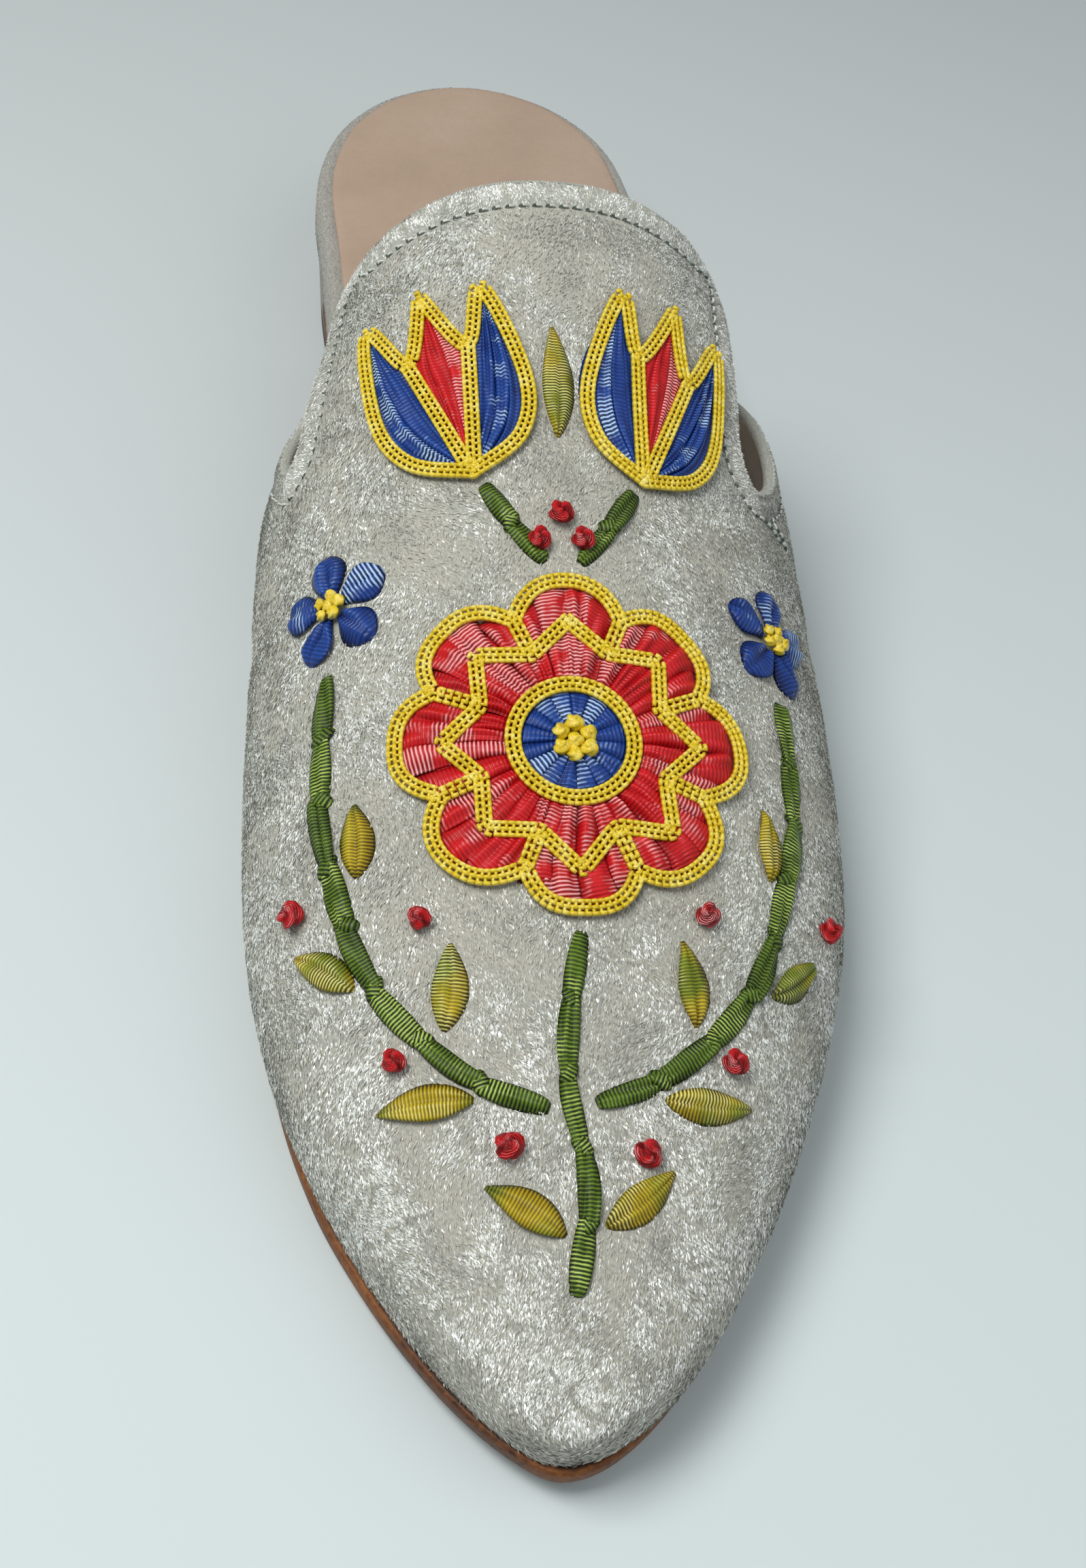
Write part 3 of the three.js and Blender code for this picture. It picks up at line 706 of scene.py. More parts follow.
class NodeWriter:
    """Adds nodes to a tree: type, settings, then values or links of the sockets."""

    def __init__(self, tree: NodeTree) -> None:
        """Keeps the tree."""
        self.tree = tree

    @staticmethod
    def pick(sockets: Any, key: str | int) -> Any:
        """Finds a socket by place or by name among those in use."""
        by_name = (socket for socket in sockets if socket.name == key and socket.enabled)
        return sockets[key] if isinstance(key, int) else next(by_name)

    def node(self, kind: str, settings: dict[str, Any], sockets: dict[str | int, Any]) -> Node:
        """Adds one node.

        Args:
            kind: Blender's type name.
            settings: Properties, set first; stops gives a ramp's places and colours.
            sockets: Values or links by socket name or place.

        Returns:
            The node.
        """
        made = self.tree.nodes.new(kind)
        for name, value in settings.items():
            if name != "stops":
                setattr(made, name, value)
                continue
            ramp = made.color_ramp.elements
            while len(ramp) < len(value):
                ramp.new(1.0)
            for element, (place, colour) in zip(ramp, value):
                element.position = place
                element.color = (*colour, 1.0)
        for key, value in sockets.items():
            socket = self.pick(made.inputs, key)
            value = value.socket if isinstance(value, Number) else value
            if isinstance(value, NodeSocket):
                self.tree.links.new(value, socket)
            elif isinstance(value, tuple) and len(value) == 3 and socket.type == "RGBA":
                socket.default_value = (*value, 1.0)
            else:
                socket.default_value = value
        return made

    def out(self, kind: str, settings: dict[str, Any], sockets: dict[str | int, Any], which: Any = 0) -> Any:
        """Adds one node and gives one of its outputs, by place or by name."""
        return self.pick(self.node(kind, settings, sockets).outputs, which)


class Number:
    """A value inside a shader, so that sums are written as sums."""

    def __init__(self, writer: NodeWriter, socket: NodeSocket) -> None:
        """Wraps a socket."""
        self.writer, self.socket = writer, socket

    def join(self, how: str, first: Any, second: Any = 0.0) -> Number:
        """Adds one Math node."""
        made = self.writer.out("ShaderNodeMath", {"operation": how}, {0: first, 1: second})
        return Number(self.writer, made)

    def __add__(self, other: Any) -> Number:
        """Sum."""
        return self.join("ADD", self, other)

    __radd__ = __add__

    def __mul__(self, other: Any) -> Number:
        """Product."""
        return self.join("MULTIPLY", self, other)

    __rmul__ = __mul__

    def __sub__(self, other: Any) -> Number:
        """Difference."""
        return self.join("SUBTRACT", self, other)

    def __rsub__(self, other: Any) -> Number:
        """Difference from a plain number."""
        return self.join("SUBTRACT", other, self)

    def __truediv__(self, other: Any) -> Number:
        """Quotient."""
        return self.join("DIVIDE", self, other)

    def __pow__(self, other: Any) -> Number:
        """Power."""
        return self.join("POWER", self, other)

    def sine(self) -> Number:
        """Sine of an angle in radians."""
        return self.join("SINE", self)

    def held(self) -> Number:
        """Held between 0 and 1."""
        return Number(self.writer, self.writer.out("ShaderNodeClamp", {}, {"Value": self}))


class Paint(NodeWriter):
    """One material, with a Principled shader whose even values sit on its own sockets."""

    def __init__(self, name: str, **even: Any) -> None:
        """Makes the material.

        Args:
            name: Material name.
            even: Socket values that are the same all over, with _ for a space.
        """
        self.material = bpy.data.materials.new(name)
        self.material.use_nodes = True
        super().__init__(self.material.node_tree)
        self.shader = next(node for node in self.tree.nodes if node.type == "BSDF_PRINCIPLED")
        for label, value in even.items():
            socket = self.shader.inputs[label.replace("_", " ")]
            socket.default_value = (*value, 1.0) if socket.type == "RGBA" else value

    def feed(self, label: str, value: Any) -> None:
        """Links a value that changes over the surface into the shader."""
        socket = value.socket if isinstance(value, Number) else value
        self.tree.links.new(socket, self.shader.inputs[label])

    def space(self, stretch: Spot = (1, 1, 1)) -> NodeSocket:
        """Object coordinates in millimetres, stretched."""
        source = self.out("ShaderNodeTexCoord", {}, {}, "Object")
        return self.out("ShaderNodeMapping", {}, {"Vector": source, "Scale": tuple(v / MM for v in stretch)})

    def cloth(self) -> tuple[Number, Number, NodeSocket]:
        """Cloth map in millimetres.

        Returns:
            Along, across and both together.
        """
        source = self.out("ShaderNodeUVMap", {"uv_map": "cloth"}, {})
        parts = self.node("ShaderNodeSeparateXYZ", {}, {0: source}).outputs
        return Number(self, parts[0]), Number(self, parts[1]), source

    def kept(self, name: str) -> Number:
        """A number kept at the mesh's points."""
        return Number(self, self.out("ShaderNodeAttribute", {"attribute_name": name}, {}, "Fac"))

    def noise(self, place: Any, scale: float, detail: float = 3.0, rough: float = 0.55) -> Number:
        """Soft noise from 0 to 1."""
        sockets = {"Vector": place, "Scale": scale, "Detail": detail, "Roughness": rough}
        return Number(self, self.out("ShaderNodeTexNoise", {}, sockets))

    def cells(self, place: Any, scale: float) -> Number:
        """Distance within small cells."""
        sockets = {"Vector": place, "Scale": scale}
        return Number(self, self.out("ShaderNodeTexVoronoi", {}, sockets, "Distance"))

    def ramp(self, value: Number, *stops: tuple[float, Colour]) -> NodeSocket:
        """Colours along a value."""
        return self.out("ShaderNodeValToRGB", {"stops": stops}, {"Fac": value})

    def mix(self, share: Any, first: Any, second: Any, how: str = "MIX") -> NodeSocket:
        """Mixes two colours."""
        settings = {"data_type": "RGBA", "blend_type": how}
        return self.out("ShaderNodeMix", settings, {"Factor": share, "A": first, "B": second}, "Result")

    def bump(self, height: Number, depth: float, strength: float = 1.0) -> None:
        """Feeds relief into the shader, with its depth in millimetres."""
        sockets = {"Height": height, "Distance": depth * MM, "Strength": strength}
        self.feed("Normal", self.out("ShaderNodeBump", {}, sockets))


@dataclass(frozen=True)
class VelvetGround:
    """Crushed silver-grey velvet under its standing pile."""

    name: str = "velvet_ground"
    calm: Colour = (0.505, 0.485, 0.415)
    crushed: Colour = (0.42, 0.44, 0.39)
    sheen: float = 0.3

    def material(self) -> Material:
        """Builds the finish.

        Returns:
            The material.
        """
        paint = Paint(
            self.name, Roughness=0.85, Sheen_Weight=self.sheen, Sheen_Roughness=0.4,
            Sheen_Tint=(0.92, 0.94, 0.9),
        )
        grain = paint.noise(paint.space((1.0, 0.45, 1.0)), 3.0, 2.0, 0.7)
        cloud = paint.noise(paint.space(), 0.11, 3.0, 0.6)
        # light carries random crushed patches and the painted sheen and shade of the upper; where it is high
        # the ground takes the greyer crushed tone.
        share = (paint.kept("light") * 0.9 + (cloud - 0.5) * 0.9).held()
        plain = paint.mix(share, self.calm, self.crushed)
        shaded = tuple(value * 0.8 for value in self.crushed)
        paint.feed("Base Color", paint.mix(((grain - 0.32) * 3.2).held(), shaded, plain))
        paint.bump(grain + cloud * 0.3, 0.35, 0.7)
        return paint.material


@dataclass(frozen=True)
class PileFinish:
    """One tone of the velvet's standing strands."""

    name: str
    colour: Colour
    roughness: float
    gloss: float = 0.5
    sheen: float = 0.2
    metal: float = 0.0

    def material(self) -> Material:
        """Builds the finish; a strand is too small to carry a pattern.

        Returns:
            The material.
        """
        paint = Paint(
            self.name, Base_Color=self.colour, Roughness=self.roughness, Specular_IOR_Level=self.gloss,
            Metallic=self.metal, IOR=1.5 + 0.3 * self.gloss, Sheen_Weight=self.sheen,
            Sheen_Roughness=0.35,
        )
        return paint.material


@dataclass(frozen=True)
class LiningCloth:
    """Brown-grey woven lining inside the upper."""

    shade: Colour = (0.58, 0.51, 0.41)
    light: Colour = (0.76, 0.69, 0.58)

    def material(self) -> Material:
        """Builds the finish.

        Returns:
            The material.
        """
        paint = Paint("lining_cloth", Roughness=0.8, Sheen_Weight=0.2)
        along, across, _ = paint.cloth()
        weave = ((along + across) * (math.tau / 0.7)).sine() * 0.5 + 0.5
        worn = paint.noise(paint.space(), 0.12)
        tone = (worn * 0.8 + weave * 0.25).held()
        paint.feed("Base Color", paint.ramp(tone, (0.2, self.shade), (0.8, self.light)))
        paint.bump(weave, 0.12)
        return paint.material


@dataclass(frozen=True)
class Leather:
    """Leather with pores, soft blotches and its own gloss."""

    name: str
    deep: Colour
    body: Colour
    bright: Colour
    roughness: float
    grain: float
    pores: float
    coat: float = 0.0
    mottle: float = 0.9
    speck: float = 0.4
    burnish: float = 0.0

    def material(self) -> Material:
        """Builds the finish.

        Returns:
            The material.
        """
        paint = Paint(self.name, Coat_Weight=self.coat, Coat_Roughness=0.35, Specular_IOR_Level=0.32)
        place = paint.space()
        blotch = paint.noise(place, 0.06, 4.0)
        fine = paint.noise(place, 0.9, 4.0, 0.7)
        pores = paint.cells(place, self.pores)
        tone = (blotch - 0.5) * self.mottle + (fine - 0.5) * (self.mottle * self.speck) + 0.5
        if self.burnish:
            # The top face, which edge marks, is darker, with fine noise.
            tone = tone - (paint.kept("edge") + (fine - 0.5) * 0.5).held() * self.burnish
        stops = (0.2, self.deep), (0.5, self.body), (0.78, self.bright)
        paint.feed("Base Color", paint.ramp(tone.held(), *stops))
        paint.feed("Roughness", (blotch * 0.2 + fine * 0.12 + (self.roughness - 0.16)).held())
        paint.bump(pores * 0.6 + fine * 0.5, self.grain, 0.7)
        return paint.material


@dataclass(frozen=True)
class RibbonFinish:
    """Satin ribbon with fine cross ribs, painted glints on some rib crests and painted shade in its fold
    valleys.
    """

    name: str
    # deep and light are mostly painted: shade in the fold valleys and light on the fold crests.
    deep: Colour
    body: Colour
    light: Colour
    glint: Colour
    rib: float = 0.44
    gleam: float = 0.75
    ribbing: float = 0.26
    shift: Colour = (1.0, 1.0, 1.0)
    roughness: float = 0.34

    def material(self) -> Material:
        """Builds the finish.

        Returns:
            The material.
        """
        paint = Paint(self.name, Specular_IOR_Level=0.28, Coat_Weight=0.05, Coat_Roughness=0.25)
        along, _, both = paint.cloth()
        waver = paint.noise(both, 0.5, 2.0)
        ribs = ((along + waver * 0.25) * (math.tau / self.rib)).sine() * 0.5 + 0.5
        streak = paint.noise(both, 0.3, 3.0)
        patch = paint.noise(paint.space(), 0.24, 2.0)
        # fold is the crest height: it paints shade in the valleys and light on the crests.
        fold = paint.kept("fold")
        # Painted glints: stitch tone, patch, streak and fold pick the rib crests that shine.
        shine = (paint.kept("tone") - 0.7) * 0.55 + (patch - 0.5) * 1.1
        glint_mask_painted = ((shine + (streak - 0.5) * 0.5 + (fold - 0.5) * 0.22) * 5).held()
        # ribbing paints light on the rib crests and shade between them.
        tone = paint.kept("tone") * 0.2 + fold * 0.6 + (streak - 0.5) * 0.7 + (ribs - 0.5) * self.ribbing
        # Painted shade between the glinting ribs.
        tone = (tone - glint_mask_painted * (1 - ribs) * 0.35).held()
        colour = paint.ramp(tone, (0.06, self.deep), (0.5, self.body), (0.95, self.light))
        if self.shift != (1.0, 1.0, 1.0):
            dyed = ((paint.noise(paint.space(), 0.13, 1.0) - 0.42) * 5).held()
            colour = paint.mix(dyed, colour, self.shift, "MULTIPLY")
        # Painted highlights: the pale colour on the rib crests.
        paint.feed("Base Color", paint.mix(glint_mask_painted * ribs**2.2 * self.gleam, colour, self.glint))
        paint.feed("Roughness", (streak * 0.2 + (1 - ribs) * 0.16 + (self.roughness - 0.16)).held())
        paint.bump(ribs, 0.1)
        return paint.material


@dataclass(frozen=True)
class BraidFinish:
    """Yellow-gold braid thread, with painted highlights in patches."""

    deep: Colour = (0.46, 0.29, 0.003)
    body: Colour = (0.82, 0.6, 0.008)
    bright: Colour = (1.0, 0.96, 0.36)

    def material(self) -> Material:
        """Builds the finish.

        Returns:
            The material.
        """
        even = {"Specular_IOR_Level": 0.6, "Coat_Weight": 0.2, "Coat_Roughness": 0.2}
        paint = Paint("gold_braid", Roughness=0.3, **even)
        place = paint.space()
        # The glow patches paint lemon highlights on the braid.
        glow = paint.noise(place, 0.5, 2.0)
        thread = paint.noise(place, 4.0, 2.0, 0.8)
        tone = (glow * 0.6 + thread * 0.5 - 0.05).held()
        paint.feed("Base Color", paint.ramp(tone, (0.2, self.deep), (0.5, self.body), (0.8, self.bright)))
        paint.bump(thread, 0.1)
        return paint.material


@dataclass(frozen=True)
class ThreadFinish:
    """Twisted sewing thread."""

    name: str = "hem_thread"
    deep: Colour = (0.025, 0.05, 0.034)
    bright: Colour = (0.1, 0.14, 0.105)

    def material(self) -> Material:
        """Builds the finish.

        Returns:
            The material.
        """
        paint = Paint(self.name, Roughness=0.6, Sheen_Weight=0.2)
        twist = paint.noise(paint.space(), 1.6, 2.0)
        paint.feed("Base Color", paint.ramp(twist, (0.35, self.deep), (0.65, self.bright)))
        paint.bump(twist, 0.08)
        return paint.material


@dataclass(frozen=True)
class RubberFinish:
    """Dark walking rubber."""

    deep: Colour = (0.018, 0.021, 0.02)
    worn: Colour = (0.075, 0.085, 0.082)

    def material(self) -> Material:
        """Builds the finish.

        Returns:
            The material.
        """
        paint = Paint("lift_rubber", Specular_IOR_Level=0.4)
        speck = paint.noise(paint.space(), 1.4, 4.0, 0.7)
        paint.feed("Base Color", paint.ramp(speck, (0.35, self.deep), (0.75, self.worn)))
        paint.feed("Roughness", (speck * 0.3 + 0.5).held())
        paint.bump(speck, 0.12)
        return paint.material


@dataclass(frozen=True)
class FloorFinish:
    """Plain pale studio floor, with painted shade that darkens it away from the toe."""

    front: Colour = (0.672, 0.753, 0.763)
    back: Colour = (0.5, 0.536, 0.541)
    start: float = -170.0
    reach: float = 420.0

    def material(self) -> Material:
        """Builds the finish.

        Returns:
            The material.
        """
        paint = Paint("floor_paper", Roughness=0.75, Specular_IOR_Level=0.25)
        place = paint.space()
        away = Number(paint, paint.node("ShaderNodeSeparateXYZ", {}, {0: place}).outputs[1])
        cloud = paint.noise(place, 0.004, 2.0) * 0.06
        # Painted shade: the colour goes from the front one to the back one along the floor.
        share = ((away - self.start) / self.reach + cloud).held()
        paint.feed("Base Color", paint.mix(share, self.front, self.back))
        return paint.material


class Tree(NodeWriter):
    """A Geometry Nodes tree with named inputs, and the steps that the trees share."""

    def __init__(self, name: str, **inputs: str) -> None:
        """Opens the tree.

        Args:
            name: Tree name.
            inputs: Kind of each named input, past the host, the small shape and its finish.
        """
        super().__init__(bpy.data.node_groups.new(name, "GeometryNodeTree"))
        sides = self.tree.interface
        kinds = {"Geometry": "Geometry", "Shape": "Object", "Finish": "Material", **inputs}
        for label, kind in kinds.items():
            sides.new_socket(label, in_out="INPUT", socket_type=f"NodeSocket{kind}")
        sides.new_socket("Geometry", in_out="OUTPUT", socket_type="NodeSocketGeometry")
        self.given = self.node("NodeGroupInput", {}, {}).outputs

    def kept(self, kind: str, name: Any) -> Any:
        """Reads an attribute of the host mesh."""
        return self.out("GeometryNodeInputNamedAttribute", {"data_type": kind}, {"Name": name})

    def times(self, first: Any, second: Any) -> Any:
        """Product of two numbers."""
        return self.out("ShaderNodeMath", {"operation": "MULTIPLY"}, {0: first, 1: second})

    def chance(self, kind: str, least: Any, most: Any) -> Any:
        """A random number or vector at each point, fixed by the tree's seed."""
        sockets = {"Min": least, "Max": most, "Seed": self.given["Seed"]}
        return self.out("FunctionNodeRandomValue", {"data_type": kind}, sockets, "Value")

    def facing(self, axes: str, first: Any, second: Any) -> Any:
        """Rotation that turns one axis of a shape to a way and leans another to a second way."""
        settings = {"primary_axis": axes[0], "secondary_axis": axes[1]}
        return self.out("FunctionNodeAxesToRotation", settings, {0: first, 1: second})

    def ruffled(self, stand: Any, least: Any, most: Any) -> Any:
        """Shakes a rotation by random angles between two limits."""
        turn = self.out("FunctionNodeEulerToRotation", {}, {0: self.chance("FLOAT_VECTOR", least, most)})
        return self.out("FunctionNodeRotateRotation", {"rotation_space": "LOCAL"}, {0: stand, 1: turn})

    def set_out(self, points: Any, rotation: Any, scale: Any = (1.0, 1.0, 1.0)) -> NodeTree:
        """Sets the small shape on points and ends in Realize Instances and Set Material.

        Args:
            points: Where it is set.
            rotation: How each one is turned.
            scale: Size of each one.

        Returns:
            The finished tree.
        """
        sockets = {"Object": self.given["Shape"], "As Instance": True}
        model = self.out("GeometryNodeObjectInfo", {}, sockets, "Geometry")
        sockets = {"Points": points, "Instance": model, "Rotation": rotation, "Scale": scale}
        placed = self.out("GeometryNodeInstanceOnPoints", {}, sockets)
        real = self.out("GeometryNodeRealizeInstances", {}, {"Geometry": placed})
        sockets = {"Geometry": real, "Material": self.given["Finish"]}
        self.node("NodeGroupOutput", {}, {"Geometry": self.out("GeometryNodeSetMaterial", {}, sockets)})
        return self.tree


class Workshop:
    """Geometry Nodes trees for what repeats, and the small shapes that they set out."""

    def __init__(self) -> None:
        """Writes the three trees."""
        self.pile = self.pile_tree()
        self.row = self.row_tree()
        self.cluster = self.cluster_tree()

    @staticmethod
    def pile_tree() -> NodeTree:
        """Strands scattered over a surface and combed along an attribute.

        Returns:
            The tree.
        """
        tree = Tree(
            "velvet_pile", Density="Float", Cover="String", Clump="Float", Size="Float", Ruffle="Vector",
            Seed="Int",
        )
        given = tree.given
        density = tree.times(given["Density"], tree.kept("FLOAT", given["Cover"]))
        sockets = {"Mesh": given["Geometry"], "Density": density, "Seed": given["Seed"]}
        settings = {"distribute_method": "RANDOM"}
        spots = tree.node("GeometryNodeDistributePointsOnFaces", settings, sockets).outputs
        bunch = tree.out("ShaderNodeTexNoise", {}, {"Scale": 0.55 / MM, "Detail": 1.0})
        sparse = tree.out("ShaderNodeMath", {"operation": "LESS_THAN"}, {0: bunch, 1: given["Clump"]})
        sockets = {"Geometry": spots["Points"], "Selection": sparse}
        left = tree.out("GeometryNodeDeleteGeometry", {"domain": "POINT"}, sockets)
        stand = tree.facing("ZY", spots["Normal"], tree.kept("FLOAT_VECTOR", "pile_way"))
        back = tree.out("ShaderNodeVectorMath", {"operation": "SCALE"}, {0: given["Ruffle"], "Scale": -1.0})
        size = tree.times(tree.chance("FLOAT", 0.65, 1.35), given["Size"])
        size = tree.times(size, tree.kept("FLOAT", "pile_size"))
        return tree.set_out(left, tree.ruffled(stand, back, given["Ruffle"]), size)

    @staticmethod
    def row_tree() -> NodeTree:
        """One shape repeated along a path at an even spacing.

        Returns:
            The tree.
        """
        tree = Tree("even_row", Spacing="Float")
        curve = tree.out("GeometryNodeMeshToCurve", {}, {"Mesh": tree.given["Geometry"]})
        sockets = {"Curve": curve, "Length": tree.given["Spacing"]}
        even = tree.out("GeometryNodeResampleCurve", {"mode": "LENGTH"}, sockets)
        run = tree.out("GeometryNodeInputTangent", {}, {})
        return tree.set_out(even, tree.facing("XZ", run, tree.kept("FLOAT_VECTOR", "out")))

    @staticmethod
    def cluster_tree() -> NodeTree:
        """One shape on each point, spun about the outward way and varied in size.

        Returns:
            The tree.
        """
        tree = Tree("knot_cluster", Least="Float", Most="Float", Seed="Int")
        given = tree.given
        stand = tree.facing("ZY", tree.kept("FLOAT_VECTOR", "out"), (0.0, 1.0, 0.0))
        turned = tree.ruffled(stand, (-0.3, -0.3, -3.1), (0.3, 0.3, 3.1))
        size = tree.chance("FLOAT", given["Least"], given["Most"])
        return tree.set_out(given["Geometry"], turned, size)

    @staticmethod
    def shape(name: str, points: Any, faces: Sequence[Face]) -> Object:
        """A small shape about its own origin, given in millimetres.

        Args:
            name: Object name.
            points: Rows of three numbers.
            faces: Corner numbers of each face.

        Returns:
            The object.
        """
        mesh = bpy.data.meshes.new(name)
        mesh.from_pydata((np.asarray(points, float) * MM).tolist(), [], faces)
        smooth(mesh)
        return linked(name, mesh)

    @staticmethod
    def path(name: str, runs: Sequence[tuple[Grid, Grid]], joined: bool = True) -> Object:
        """A host mesh of points in rows.

        Args:
            name: Object name.
            runs: Points of each row, and their outward ways, which are kept on the mesh.
            joined: Whether the points of a row are joined.

        Returns:
            The object.
        """
        points, ways = (np.concatenate(part) for part in zip(*runs))
        ends = set(np.cumsum([len(run) for run, _ in runs]) - 1)
        links = [(k, k + 1) for k in range(len(points)) if joined and k not in ends]
        mesh = bpy.data.meshes.new(name)
        mesh.from_pydata(in_frame(points), links, [])
        keep_values(mesh, "out", ways)
        return linked(name, mesh)

    @staticmethod
    def grow(host: Object, tree: NodeTree, shape: Object, finish: Material, **values: Any) -> Object:
        """Runs a tree on a host and keeps the result as a plain mesh.

        Args:
            host: Object that the tree runs on; it is removed, and the new piece takes its name.
            tree: The tree.
            shape: Small shape that it sets out; it is removed.
            finish: Material.
            values: Values of the tree's other inputs.

        Returns:
            The new object.
        """
        name = host.name
        values.update(Shape=shape, Finish=finish)
        modifier = host.modifiers.new("grow", "NODES")
        modifier.node_group = tree
        for item in tree.interface.items_tree:
            if item.item_type == "SOCKET" and item.in_out == "INPUT" and item.name in values:
                modifier[item.identifier] = values[item.name]
        bpy.context.view_layer.update()
        graph = bpy.context.evaluated_depsgraph_get()
        mesh = bpy.data.meshes.new_from_object(host.evaluated_get(graph))
        mesh.name = name
        host.modifiers.remove(modifier)
        bpy.data.objects.remove(host)
        bpy.data.objects.remove(shape)
        for label in [kept.name for kept in mesh.attributes if kept.name in ("out", "pile_way")]:
            mesh.attributes.remove(mesh.attributes[label])
        return linked(name, mesh)

    def strand(self) -> Object:
        """One strand of pile, leaning along its own second way."""
        points = [(0.0, -0.2, -0.05), (0.11, 0.18, 0.1), (0.0, 0.68, 0.13), (-0.11, 0.18, 0.1)]
        return self.shape("strand", points, [(0, 1, 3), (1, 2, 3)])

    def stitch(self, reach: float) -> Object:
        """One sewn stitch that dives at both ends.

        Args:
            reach: Half its length.

        Returns:
            The small shape.
        """
        rings, around = 7, 6
        points = []
        for run in np.linspace(-1.0, 1.0, rings):
            for turn in np.linspace(0.0, math.tau, around + 1)[:-1]:
                aside = 0.23 * math.cos(turn) * (1.05 - 0.35 * abs(run))
                points.append((reach * run, aside, 0.2 * math.sin(turn) + 0.26 - 0.45 * run**4))
        return self.shape("stitch", points, tube_faces(rings, around, outwards=False))

    def braid_link(self, length: float, width: float) -> Object:
        """One link of the braid: three knobbly rails and two staggered bars.

        Args:
            length: Spacing of the links.
            width: Width of the braid.

        Returns:
            The small shape.
        """
        points: list[Spot] = []
        faces: list[Face] = []
        half = length / 2 * 1.06
        for rail, stagger in ((-0.37, 0.0), (0.0, 0.12), (0.37, 0.0)):
            base = len(points)
            for x, swell in ((-half, 0.92), (stagger * length, 1.08), (half, 0.92)):
                reach = 0.137 * width * swell
                for aside, up in ((-1.0, 0.0), (-0.72, 0.4), (0.0, 0.52), (0.72, 0.4), (1.0, 0.0)):
                    points.append((x, rail * width + reach * aside, up * swell))
            faces += [tuple(base + corner for corner in face) for face in tube_faces(3, 5, outwards=False)]
        for y0, y1, x in ((-0.31, -0.06, -0.25 * length), (0.06, 0.31, 0.25 * length)):
            base = len(points)
            for y in (y0 * width, y1 * width):
                points += [(x - 0.33 * length, y, 0.08), (x, y, 0.42), (x + 0.33 * length, y, 0.08)]
            faces += [tuple(base + k for k in face) for face in ((0, 3, 4, 1), (1, 4, 5, 2), (0, 2, 5, 3))]
        return self.shape("braid_link", points, faces)

    def knot(self) -> Object:
        """One rolled ribbon knot, with folds winding round it.

        Returns:
            The small shape.
        """
        rings, around = 9, 14
        fall, turn = np.meshgrid(
            math.pi * (0.04 + 0.92 * np.linspace(0.0, 1.0, rings)), math.tau * np.arange(around) / around,
            indexing="ij",
        )
        fold = 1 + 0.19 * np.sin(3 * turn + 4.5 * fall) + 0.09 * np.sin(2 * turn - 3 * fall)
        reach = np.sin(fall) * fold
        up = 0.55 + 0.72 * np.cos(fall) * fold
        points = np.stack([reach * np.cos(turn), reach * np.sin(turn), up], axis=-1).reshape(-1, 3)
        thing = self.shape("knot", points, tube_faces(rings, around, outwards=False))
        map_cloth(thing.data, np.stack([3.0 * fall + 1.2 * turn, turn], axis=-1).reshape(-1, 2))
        keep_values(thing.data, "tone", np.full(rings * around, 0.62))
        # fold paints light on the knot's swells and shade in its creases.
        keep_values(thing.data, "fold", np.clip(0.5 + 2.4 * (fold - 1), 0.0, 1.0).ravel())
        return thing


